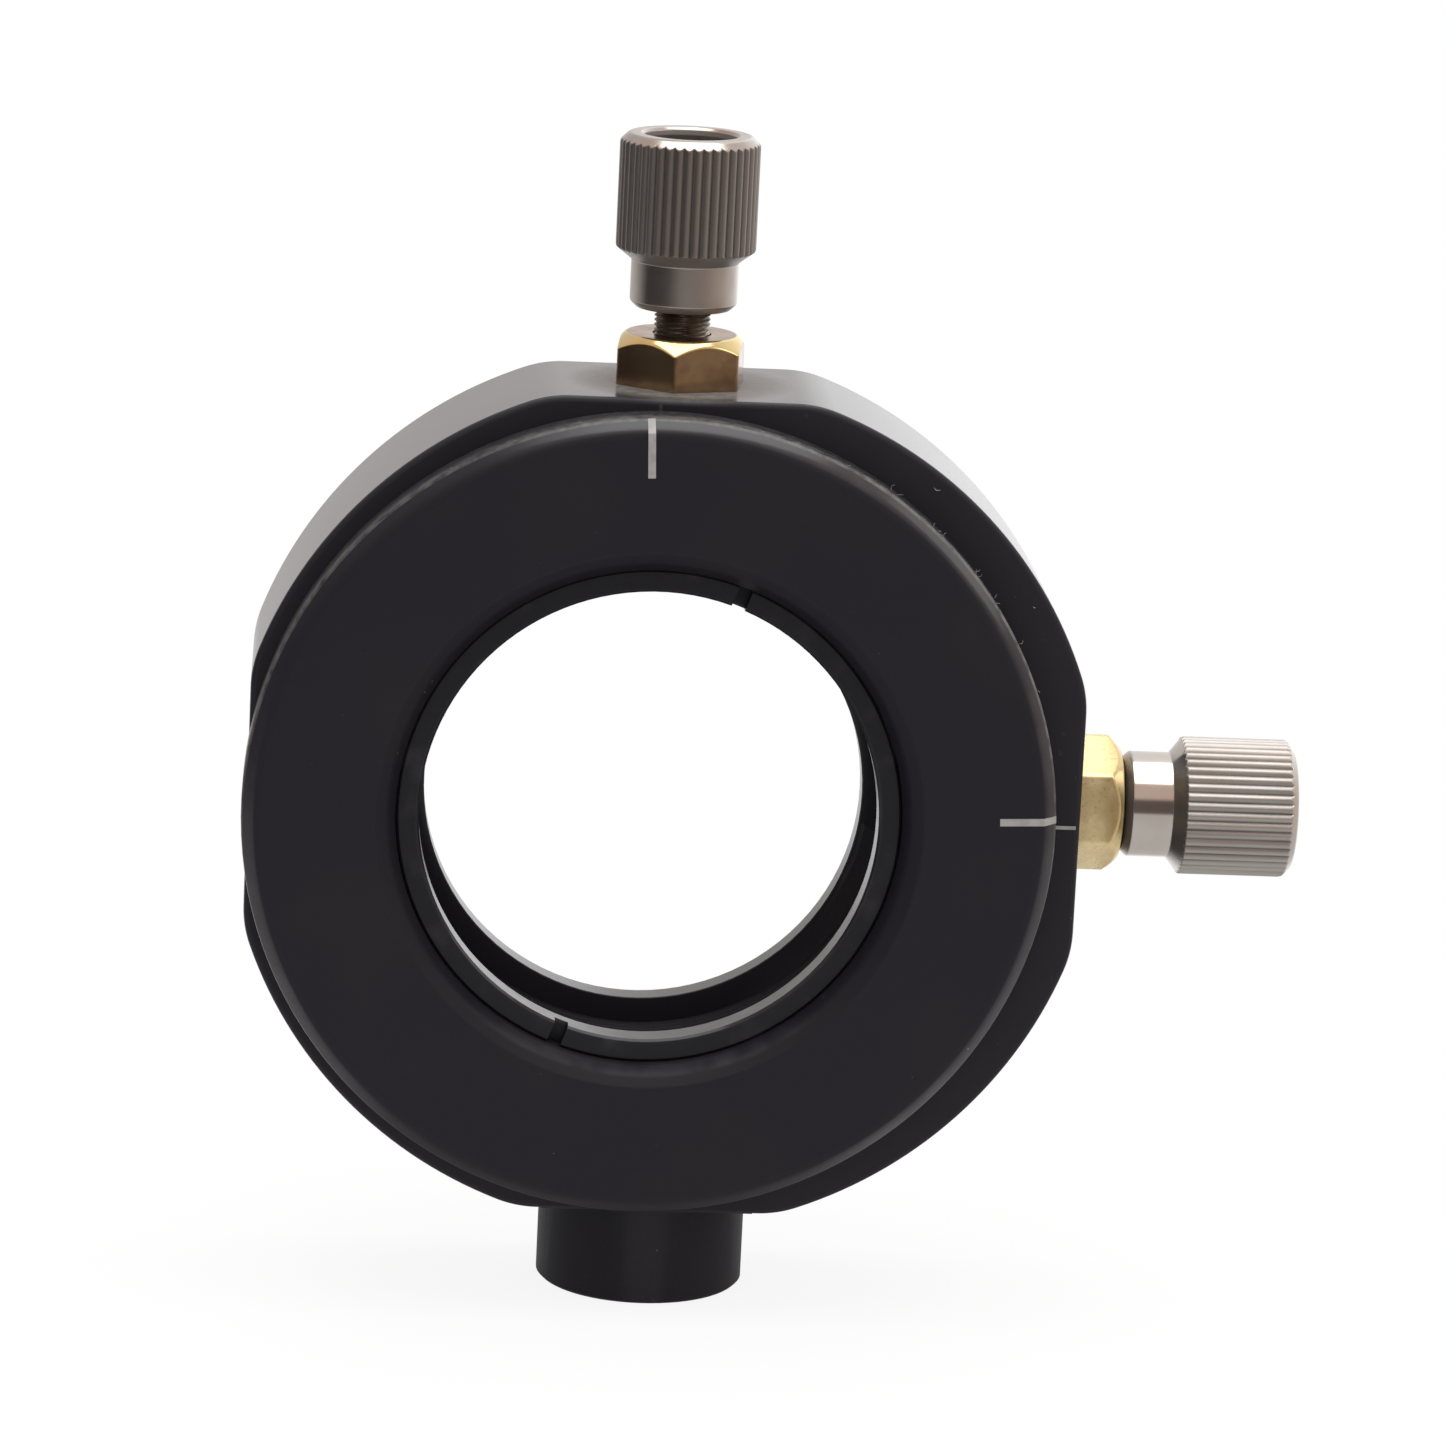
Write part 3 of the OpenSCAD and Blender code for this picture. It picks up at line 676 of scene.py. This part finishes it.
def outlineCutter():
    # point(turn) = centre of the arc that has this direction + its radius x (cos, sin); the section of the cutter
    # runs along the rounded chamfers, a hair inside the side, and closes outside
    o = outline
    along = flatMm - o["cornerRadius"]
    across = math.sqrt((along + o["roundRise"]) ** 2 - along ** 2)
    meeting, right = math.atan2(across, along), np.pi / 2
    turn = np.concatenate([
        np.linspace(0, meeting, o["cornerSteps"]), np.linspace(meeting, right - meeting, o["sideSteps"])[1:],
        np.linspace(right - meeting, right, o["cornerSteps"])[1:]])
    onCorner = (turn < meeting - 1e-6) | (turn > right - meeting + 1e-6)
    firstHalf = turn < right / 2
    centre = np.stack([np.where(firstHalf, along, across), np.where(firstHalf, across, along)], axis=1)
    direction = np.stack([np.cos(turn), np.sin(turn)], axis=1)
    roundSide = (flatMm + o["roundRise"]) * direction
    quarter = np.where(onCorner[:, None], centre + o["cornerRadius"] * direction, roundSide)
    turns = [np.array([[math.cos(a), math.sin(a)], [-math.sin(a), math.cos(a)]]) for a in right * np.arange(-1, 3)]
    path = np.concatenate([
        [(o["openFrom"], -flatMm)], *(quarter @ t for t in turns), [(-o["openFrom"], -flatMm)]])
    outward = np.concatenate([[(0, -1)], *(direction @ t for t in turns), [(0, -1)]])
    edge, (out, past), soft = depthMm, o["reach"], o["softening"]
    front = softened(
        [(-1, -edge - o["proud"]), (-o["chamfer"], -edge - o["proud"]), (0, o["chamfer"] - edge), (0, 0)],
        [0, soft, soft, 0], closed=False)[5:-5] - (o["skin"], 0)
    low = front[0, 0]
    section = np.concatenate([
        front, front[::-1] * (1, -1),
        [(low, edge + past), (out, edge + past), (out, -edge - past), (low, -edge - past)]])
    flatPoints = path[:, None] + outward[:, None] * section[None, :, :1]
    depth = np.broadcast_to(section[None, :, 1], flatPoints.shape[:2])
    points = np.stack([flatPoints[..., 0], depth, flatPoints[..., 1] + axisMm], axis=-1)
    return meshObject("outlineCutter", endsClosed(points) * mm, "housingBlack", 30)


def housingWidth(at):
    # Only the edges of the foot, at the floor
    return np.where(at[:, 2] < edges["footTop"], edges["foot"], 0)


def cellWidth(at):
    # By radius and depth: the rim, the bevel, the mouth behind the ring, and the lip
    e, radius, depth = edges, np.hypot(at[:, 0] - discMm[0], at[:, 2] - discMm[2]), at[:, 1]
    front, (mouthRadius, mouthDepth) = depth < e["frontFrom"], e["mouthFrom"]
    return np.select(
        [front & (radius > rimMm - e["near"]), front & (radius > e["bevelFrom"]),
         (depth < mouthDepth) & (radius > mouthRadius), np.abs(radius - e["lipRadius"]) < e["near"]],
        [e["rim"], e["bevel"], e["mouth"], e["lip"]], 0)


roundedCopy("housing_softened", "housing", "housing", housingWidth, outlineCutter())
roundedCopy("lens_cell_softened", "lens_cell", "cell", cellWidth)
print("rounded copies made")


# Brass bushings: a hexagon under a cone, with rounded meetings, on a turned shank (millimetres, degrees)
bushing = {
    "across": 6.35, "height": 2.6, "faceRadius": 2.9, "chamfer": 0.75, "shank": 2.4, "bore": 1.53,
    "setbacks": [0.1, 0.15, 0.02, 0.04, 0.01, 0.12, 0.06], "spacing": 0.06,
    "topTurn": 22, "rightTurn": -35, "samples": 32, "cornerSoftness": 0.12, "coneSoftness": 0.1,
}


def smoothLeast(first, second, softness):
    # The smaller of two, blended where they differ by less than the softness
    near = np.clip(softness - np.abs(first - second), 0, None) / softness
    return np.minimum(first, second) - near ** 2 * softness / 4


def makeBushing(side, place):
    # radius(angle, along) = the smaller of the hexagon's, half of across / cos(angle from a side), and the cone's
    b, node = bushing, side + "_bushing"
    low, high = extent(node, place)
    corner, foot, shoulder = b["across"] / math.sqrt(3), high - b["height"], high - b["chamfer"]
    profile = softened(
        [(b["bore"], low), (b["shank"], low), (b["shank"], foot), (corner, foot), (corner, shoulder),
         (b["faceRadius"], high), (b["bore"], high)], b["setbacks"])
    profile = finer(profile, b["faceRadius"], corner + 0.01, b["spacing"])
    u = np.linspace(-1, 1, b["samples"], endpoint=False)
    within = math.radians(30) * (1.5 * u - 0.5 * u ** 3)  # closer together near the corners
    angle = (np.radians(b[side + "Turn"] + 30 + 60 * np.arange(6))[:, None] + within).ravel()
    fromSide, half = np.tile(np.abs(within), 6), b["across"] / 2
    hexagon = smoothLeast(half / np.cos(fromSide), half / np.cos(math.radians(60) - fromSide), b["cornerSoftness"])
    radius, along = profile[:, :1], profile[:, 1:]
    onHead = radius > b["shank"] + 0.05
    radius = np.where(onHead, smoothLeast(radius, hexagon, b["coneSoftness"]), radius)
    points = turnedGrid(radius, along, angle, place)
    newPiece(node + "_hexagon", points, side + "Brass", "housing", (node,), True, 35)


makeBushing("top", alongTop)
makeBushing("right", alongRight)
print("bushings made")


# Return springs: a round wire wound between the pocket's floor and the plunger's cup (millimetres)
spring = {"wire": 0.125, "turns": 7, "stepsPerTurn": 24, "sides": 12}


def makeSpring(side, place):
    # point(turn, b) = a helix of the coil's radius + wire x (cos b outwards, sin b along); the ends are flat
    s, node = spring, side + "_spring"
    (low, high), (lowest, highest) = extent(node, place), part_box(node)
    coil = (highest.y - lowest.y) / 2 / mm - s["wire"]
    turn = np.linspace(0, s["turns"], s["turns"] * s["stepsPerTurn"] + 1)
    turn, wire = np.pad(turn, 1, "edge")[:, None], np.pad(np.full(len(turn), s["wire"]), 1)[:, None]
    b = evenAngles(s["sides"])
    rise = (high - low - 2 * s["wire"]) / s["turns"]
    along = low + s["wire"] + rise * turn + wire * np.sin(b)
    points = turnedGrid(coil + wire * np.cos(b), along, 2 * np.pi * turn, place)
    piece = meshObject(node + "_coil", points, "springSteel", 60)
    centre, axis = np.array(place[0]), np.array(place[3])
    floor, cup = (centre + axis * end * mm for end in (low + 2 * s["wire"], high - 2 * s["wire"]))
    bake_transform(piece)
    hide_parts(node)


makeSpring("lower", alongTop)
makeSpring("left", alongRight)
print("springs made")


# Knurled knobs, with rounded ridges that run out over the cone and the end chamfer (millimetres)
knob = {
    "collarRadius": 2.8, "collarLength": 2.5, "collarChamfer": 0.35, "coneLength": 0.65,
    "radius": 3.65, "knurlLength": 5.5, "chamfer": 0.45, "stemRadius": 1.5,
    "recessRadius": 2.42, "recessDepth": 2.2, "recessEdge": 0.15,
    "setbacks": [0.04, 0.1, 0.1, 0.08, 0.08, 0.12, 0.16, 0.05, 0.05, 0.06, 0.04], "spacing": 0.05,
    "teeth": 44, "ridgeDepth": 0.15, "crestPower": 1.7, "samples": 10,
}


def makeKnob(side, place):
    # radius(angle) = the profile's, but no more than the ridges': crest - depth x (distance from the crest) ^ power
    k, node = knob, side + "_knob"
    collarEnd = extent(node, place)[0]
    cone = k["collarLength"] + k["coneLength"]
    end = cone + k["knurlLength"] + k["chamfer"]
    floor = end - k["recessDepth"]
    corners = [
        (k["stemRadius"], 0), (k["collarRadius"] - k["collarChamfer"], 0), (k["collarRadius"], k["collarChamfer"]),
        (k["collarRadius"], k["collarLength"]), (k["radius"], cone), (k["radius"], end - k["chamfer"]),
        (k["radius"] - k["chamfer"], end), (k["recessRadius"] + k["recessEdge"], end),
        (k["recessRadius"], end - k["recessEdge"]), (k["recessRadius"], floor), (k["stemRadius"], floor),
    ]
    profile = softened(corners, k["setbacks"])
    profile = finer(profile, k["collarRadius"] + 0.02, k["radius"] - 0.01, k["spacing"])
    angle = evenAngles(k["teeth"] * k["samples"])
    across = np.abs((angle * k["teeth"] / (2 * np.pi)) % 1 * 2 - 1)
    ridge = k["radius"] - k["ridgeDepth"] * across ** k["crestPower"]
    points = turnedGrid(np.minimum(profile[:, :1], ridge), profile[:, 1:] + collarEnd, angle, place)
    newPiece(node + "_knurled", points, side + "KnobSteel", side + "_adjuster", (node,), True, 50)


makeKnob("top", alongTop)
makeKnob("right", alongRight)
print("knobs made")


# Fine adjusting screws: a helical ridge between a ball socket and a hexagon socket (millimetres)
screw = {
    "crest": 1.47, "root": 1.335, "pitch": 0.25, "lead": 0.22, "runOut": 0.25, "steepness": 1.25, "base": 0.1,
    "ball": 0.83, "ballSteps": 14, "socketAcross": 1.6, "socketDepth": 1.4, "socketEdge": 0.1, "coneDepth": 0.3,
    "faceRadius": 1.12, "rowsPerPitch": 6, "columns": 48,
}


def makeScrew(side, place):
    # radius = root + depth x a rounded triangle wave of (distance / pitch - angle / turn), fading at both ends
    s, node = screw, side + "_screw"
    low, high = extent(node, place)
    ballCentre = sum(extent(side + "_ball", place)) / 2
    angle = evenAngles(s["columns"])
    sweep = np.linspace(0, np.pi - math.acos((ballCentre - low) / s["ball"]), s["ballSteps"])
    cup = np.column_stack([s["ball"] * np.sin(sweep), ballCentre + s["ball"] * np.cos(sweep)])
    stations = np.arange(low + s["lead"], high - s["lead"], s["pitch"] / s["rowsPerPitch"])
    shaft = np.column_stack([np.full(len(stations), s["crest"]), stations])
    socket, tip, floor = s["socketAcross"] / 2, s["crest"] - s["lead"], high - s["socketDepth"]
    outer = np.array([(tip, high), (s["faceRadius"], high), (socket * 1.12, high), (socket, high - s["socketEdge"]),
                      (socket, floor), (0, floor - s["coneDepth"])])
    profile = np.vstack([cup, [(tip, low)], shaft, outer])
    radius, along = profile[:, :1], profile[:, 1:]
    wave = ridgeWave(along / s["pitch"] - angle / (2 * np.pi), s["steepness"], s["base"])
    wave *= fadedEnds(along, low + s["lead"], high - s["lead"], s["runOut"])
    onShaft = np.isclose(radius, s["crest"])
    radius = np.where(onShaft, s["crest"] - (s["crest"] - s["root"]) * (1 - wave), radius)
    radius[-4:-1] /= np.cos((angle + np.pi / 6) % (np.pi / 3) - np.pi / 6)  # the socket's hexagon
    points = turnedGrid(radius, along, angle, place)
    newPiece(node + "_threaded", points, "screwSteel", side + "_adjuster", (node,), sharp=35)


makeScrew("top", alongTop)
makeScrew("right", alongRight)
print("screws made")


# Internal thread of the lens bore, in the two stretches behind the ring (millimetres)
boreThread = {
    "major": 13.14, "minor": 12.83, "pitch": 0.635, "steepness": 1.35, "base": 0.17, "runOut": 0.12,
    "rowsPerPitch": 12, "fewestRows": 8, "columns": 360, "backing": 0.05,
    "stretches": {"middle": (-5.62, -0.37), "rear": (1.28, 4.7)},
}


def makeBoreThread(name, low, high):
    # radius = major - depth x a truncated triangle wave of (distance / pitch - angle / turn), over a hidden backing
    t, angle = boreThread, evenAngles(boreThread["columns"])
    rows = np.linspace(low, high, max(t["fewestRows"], int((high - low) / t["pitch"] * t["rowsPerPitch"])))
    along = rows[:, None]
    wave = ridgeWave(along / t["pitch"] - angle / (2 * np.pi), t["steepness"], t["base"])
    inner = t["major"] - (t["major"] - t["minor"]) * wave * fadedEnds(along, low, high, t["runOut"])
    back = np.full((2, t["columns"]), t["major"] + t["backing"])
    points = turnedGrid(np.vstack([inner, back]), np.vstack([along, [[high], [low]]]), angle, alongLens)
    newPiece(name, points, "cellBlack", "cell", closedRows=True, sharp=60)


for stretch, (low, high) in boreThread["stretches"].items():
    makeBoreThread("bore_thread_" + stretch, low, high)
print("bore threads made")


# Index marks: cut lines filled with bare metal, as thin strips that follow the surface (millimetres, degrees)
marks = {
    "discWidth": 0.39, "discFrom": 18.1, "topTurn": -2.34, "rightTurn": 87.88, "bevel": 0.67,
    "housingWidth": 0.19, "housingFrom": 19.9, "housingTo": 0.25, "rightDrop": 0.14, "topOffset": -1.21,
    "proud": 0.008, "sunk": 0.03,
}


def makeStrip(name, path, across, outward, width, material, body):
    # A closed band: four corner lines of its section (proud or sunk, left or right) carried along the path
    path, outward = np.asarray(path, float), np.asarray(outward, float)
    side = np.asarray(across, float) * width / 2
    top, bottom = path + outward * marks["proud"], path - outward * marks["sunk"]
    ring = np.stack([top - side, top + side, bottom + side, bottom - side], axis=1)
    newPiece(name, endsClosed(ring) * mm, material, body, sharp=30)


def discMark(name, degrees):
    # Runs outwards over the face, down the bevel to the rim, at this angle from straight up
    turn = math.radians(degrees)
    outwards, sideways = np.array([[math.sin(turn), 0, math.cos(turn)], [math.cos(turn), 0, -math.sin(turn)]])
    backwards = np.array([0, 1, 0])
    bevel, slope = marks["bevel"], 0.7071
    stations = np.array([(marks["discFrom"], faceMm), (rimMm - bevel - 0.03, faceMm),
                         (rimMm - bevel, faceMm + 0.006), (rimMm - 0.01, faceMm + bevel - 0.01)])
    lean = np.array([(0, -1), (0, -1), (slope, -slope), (slope, -slope)])
    path = discMm + stations[:, :1] * outwards + stations[:, 1:] * backwards
    outward = lean[:, :1] * outwards + lean[:, 1:] * backwards
    makeStrip(name, path, sideways, outward, marks["discWidth"], "cutMark", "cell")


def housingLine(name, ends, across, material):
    # A straight line over the housing's front face, between two points given as distances from the lens axis
    path = [(x, frontMm, axisMm + z) for x, z in ends]
    makeStrip(name, path, across, [(0, -1, 0)] * 2, marks["housingWidth"], material, "housing")


discMark("top_index_mark", marks["topTurn"])
discMark("right_index_mark", marks["rightTurn"])
lineFrom, lineTo = marks["housingFrom"], flatMm - marks["housingTo"]
housingLine("right_datum_line", [(end, -marks["rightDrop"]) for end in (lineFrom, lineTo)], (0, 0, 1), "cutMark")
# The top datum line is painted dark, as the shadow of the upper bushing
housingLine("top_datum_line", [(marks["topOffset"], end) for end in (lineFrom, lineTo)], (1, 0, 0), "paintedShadowMark")
print("marks made")


# Lint (millimetres, degrees). Fibres caught on the rim, each with its angle from straight up, distance behind the
# bevel, length and how steeply it stands out; and on the housing's face, with angle, radius and length
fibres = {
    "rim": [
        (-31, 0.3, 0.2, 0.2), (-22, 0.1, 0.25, 0.1), (-12, 0.5, 0.22, 0.3), (-5, 0.2, 0.18, 0.3),
        (4, 0.4, 0.3, 0.1), (13, 0.1, 0.22, 0.2), (19, 0.3, 0.26, 0.3), (26, 0.2, 0.2, 0.4),
        (33.6, 0.9, 0.45, 0.9), (34.4, 1.0, 0.4, 0.4), (41, 0.2, 0.3, 0.7), (41.8, 0.2, 0.24, 0.5),
        (43, 0.3, 0.3, 0.9), (49.6, 0.2, 0.38, 0.8), (50.1, 0.2, 0.34, 0.4), (50.5, 0.3, 0.3, 1.0),
        (54.4, 0.3, 0.34, 0.7), (55, 0.2, 0.26, 0.5), (61.8, 0.3, 0.34, 0.8), (69, 0.2, 0.2, 0.4)],
    "face": [(36.4, 22, 0.42), (58, 21.9, 0.16)], "faceHeading": (0.94, 0, -0.34),
    "rimThickness": 0.016, "faceThickness": 0.032, "bend": 0.35, "points": 9, "sides": 5, "seed": 11,
}


def makeFibres(name, starts, headings, outwards, length, thickness, body):
    # point(t) = start + length x (t x heading + bend x sin(pi t) x sideways), as tubes that taper at both ends
    f, chance = fibres, np.random.default_rng(fibres["seed"] + len(starts))
    sideways = unit(np.cross(headings, outwards))
    upward = np.cross(sideways, headings)
    t = np.linspace(0, 1, f["points"])[None, :, None]
    bend = chance.uniform(-f["bend"], f["bend"], (len(starts), 1, 1))
    path = starts[:, None] + np.asarray(length)[:, None, None] * (
        t * headings[:, None] + bend * np.sin(np.pi * t) * sideways[:, None])
    angle = evenAngles(f["sides"])[:, None]
    ring = np.cos(angle) * sideways[:, None] + np.sin(angle) * upward[:, None]
    thick = thickness * np.sin(np.pi * t) ** 0.3
    points = path[:, :, None] + thick[..., None] * ring[:, None]
    newPiece(name, points * mm, "lint", body, sharp=180)


def clockwise(degrees):
    # Directions outwards and onwards round the lens axis, at angles from straight up
    turn = np.radians(degrees)
    return (np.stack([np.sin(turn), 0 * turn, np.cos(turn)], axis=1),
            np.stack([np.cos(turn), 0 * turn, -np.sin(turn)], axis=1))


def makeRimFibres():
    # They start on the rim's wall; the headings run along the rim, to and fro, and stand outwards
    degrees, depth, length, steep = np.array(fibres["rim"], float).T
    across, along = clockwise(degrees)
    starts = discMm + across * (rimMm + 0.003)
    starts[:, 1] += faceMm + marks["bevel"] + depth
    side = np.where(np.arange(len(degrees)) % 2, 1.0, -1.0)
    headings = along * (side * (1.05 - steep))[:, None] + across * (0.1 + steep)[:, None] + (0, -0.3, 0)
    makeFibres("rim_lint", starts, unit(headings), across, length, fibres["rimThickness"], "cell")


def makeFaceFibres():
    # They lie on the housing's front face, outside the rim
    degrees, radius, length = np.array(fibres["face"], float).T
    starts = clockwise(degrees)[0] * radius[:, None] + (0, frontMm - 0.01, axisMm)
    headings = np.tile(fibres["faceHeading"], (len(degrees), 1))
    outwards = np.tile([0, -1, 0], (len(degrees), 1))
    makeFibres("face_lint", starts, headings, outwards, length, fibres["faceThickness"], "housing")


makeRimFibres()
makeFaceFibres()
print("lint made")


# Floor and surroundings (metres): a pale floor, white behind and dim in front; the colours round the horizon are
# for what shines, by compass direction: 0 and 1 behind, 0.25 left, 0.5 in front, 0.75 right
studio = {
    "floorRadius": 2.5, "floorRings": 24, "floorSides": 96, "innerRing": 0.02,
    "floorColour": (0.82, 0.82, 0.82), "floorGrain": (0.80, 0.80, 0.80), "grainScale": 500,
    "floorShown": 0.88, "shadowReach": (0.02, 0.09), "floorNear": (0.60, 0.58, 0.56),
    "nearFrom": (-0.045, -0.015), "floorFade": (0.13, 0.24), "fadeShape": (1.7, 1, 1),
    "white": (1, 1, 1), "ambientColour": (1, 0.98, 0.97), "ambient": 0.98,
    "horizon": [
        (0.0, (0.84, 0.80, 0.78)), (0.04, (0.70, 0.67, 0.66)), (0.14, (0.60, 0.58, 0.57)),
        (0.25, (0.05, 0.045, 0.045)), (0.4, (0.06, 0.05, 0.045)), (0.5, (0.13, 0.10, 0.09)),
        (0.62, (0.34, 0.27, 0.24)), (0.75, (0.60, 0.51, 0.45)), (0.86, (1, 0.98, 0.97)),
        (0.93, (1.3, 1.3, 1.3)), (0.97, (1.3, 1.3, 1.3)), (0.985, (0.88, 0.84, 0.82))],
    "upper": (0.68, 0.54, 0.46), "upperRise": (0.30, 0.46), "whiteRise": (0.86, 0.94),
}


def horizonTone(at):
    # The colour of the surroundings in this direction, from the compass angle as a share of a turn
    place = at.node("SeparateXYZ", {}, {0: at})
    turn = place["X"].maths("ARCTAN2", place["Y"] * -1) * (0.5 / math.pi) + 0.5
    return turn.node("ValToRGB", {"stops": studio["horizon"]}, {"Fac": turn})


def seenBy(start):
    # Masks of the rays that mirror, and of those that come straight or through glass
    rays = start.node("LightPath", output="Is Camera Ray")
    return rays["Is Glossy Ray"], rays.maths("MAXIMUM", rays["Is Transmission Ray"])


def floorSurface(start):
    # Matt for the light and the shadow, shown nearly white, and mirrored with the colours of the horizon
    at = start.node("TexCoord", output="Object")
    mirrors, direct = seenBy(start)
    fromCentre = radiusFrom(at, (0, 0, 0), "Z")
    stretched = start.node("VectorMath", {"operation": "MULTIPLY"}, {0: at, 1: studio["fadeShape"]})
    far = radiusFrom(stretched, (0, 0, 0), "Z").ramp(*studio["floorFade"])
    frontwards = start.node("SeparateXYZ", {}, {0: at})["Y"] * -1
    near = frontwards.ramp(*studio["nearFrom"]).blend(studio["white"], studio["floorNear"])
    tone = mirrors.blend(studio["white"], far.blend(near, horizonTone(at)))
    colour = at.noise(studio["grainScale"]).blend(studio["floorColour"], studio["floorGrain"])
    matt = start.node("BsdfDiffuse", {}, {"Color": colour})
    glow = start.node("Emission", {}, {"Color": tone})
    shown = scaled((studio["floorShown"], 1), fromCentre.ramp(*studio["shadowReach"]))
    return start.node("MixShader", {}, {0: direct.maths("MAXIMUM", mirrors) * shown, 1: matt, 2: glow})


def makeFloor():
    # A disc: radius x (cos, sin) on rings that lie closer together near the object
    rings = np.geomspace(studio["innerRing"], studio["floorRadius"], studio["floorRings"])
    radius = np.concatenate([[0], rings])[:, None] / mm
    points = turnedGrid(radius, 0, evenAngles(studio["floorSides"]), onFloor)
    index = np.arange(points.size // 3).reshape(points.shape[:2])
    index = np.hstack([index, index[:, :1]])
    mesh = bpy.data.meshes.new("floor")
    mesh.from_pydata(points.reshape(-1, 3), [], quadsBetween(index)[:, ::-1])
    material = bpy.data.materials.new("paleFloor")
    surface = floorSurface(newTree(material))
    surface.node("OutputMaterial", {}, {"Surface": surface})
    mesh.materials.append(material)
    placed("floor", mesh)


def makeWorld():
    # White to the camera, even light for matt surfaces, and the studio's tones for what shines
    world = bpy.data.worlds.new("studio")
    bpy.context.scene.world = world
    start = newTree(world)
    direction = start.node("TexCoord", output="Generated")
    height = start.node("SeparateXYZ", {}, {0: direction})["Z"]
    mirrors, direct = seenBy(start)
    raised = height.ramp(*studio["upperRise"]).blend(horizonTone(direction), studio["upper"], "LIGHTEN")
    tone = height.ramp(*studio["whiteRise"]).blend(raised, studio["white"])
    ambient = {"Color": (*studio["ambientColour"], 1), "Strength": studio["ambient"]}
    plain, even, mirrored = (start.node("Background", {}, values) for values in (
        {"Color": (*studio["white"], 1)}, ambient, {"Color": tone}))
    lit = start.node("MixShader", {}, {0: mirrors, 1: even, 2: mirrored})
    shown = start.node("MixShader", {}, {0: direct, 1: lit, 2: plain})
    shown.node("OutputWorld", {}, {"Surface": shown})


# Lamps: a large soft one above and a smaller one at the right, both turned to the same point (metres, watts)
lamps = {
    "overhead": {"place": (0.02, -0.035, 0.62), "size": 0.66, "power": 2.4},
    "rightUpper": {"place": (0.58, -0.08, 0.41), "size": 0.35, "power": 0.45},
}
lampTarget = (0, 0, 0.02)


def makeLamp(name, look):
    lamp = bpy.data.lights.new(name, "AREA")
    lamp.shape, lamp.size, lamp.energy = "DISK", look["size"], look["power"]
    holder = placed(name, lamp)
    away = np.subtract(look["place"], lampTarget)
    holder.location = look["place"]
    holder.rotation_euler = (math.atan2(math.hypot(away[0], away[1]), away[2]), 0, math.atan2(away[0], -away[1]))


# Camera: a long lens a little above and to the left of the mount (metres; lens and sensor in millimetres)
view = {
    "place": (-0.018674, -0.331215, 0.10546), "right": (0.99735589, -0.05481011, 0.04771872),
    "up": (-0.03437826, 0.22266734, 0.97428815), "back": (-0.06402624, -0.97335251, 0.2201943),
    "lens": 160.58, "sensor": 36.0, "clip": (0.01, 20.0),
}


def makeCamera():
    camera = bpy.data.cameras.new("camera")
    camera.lens, camera.sensor_width, camera.sensor_fit = view["lens"], view["sensor"], "HORIZONTAL"
    camera.clip_start, camera.clip_end = view["clip"]
    holder = placed("camera", camera)
    turned = Matrix((view["right"], view["up"], view["back"])).transposed().to_4x4()
    holder.matrix_world = Matrix.Translation(view["place"]) @ turned
    bpy.context.scene.camera = holder


makeFloor()
makeWorld()
for name, look in lamps.items():
    makeLamp(name, look)
makeCamera()
bpy.context.scene.view_settings.view_transform = "Standard"
print("stage made")
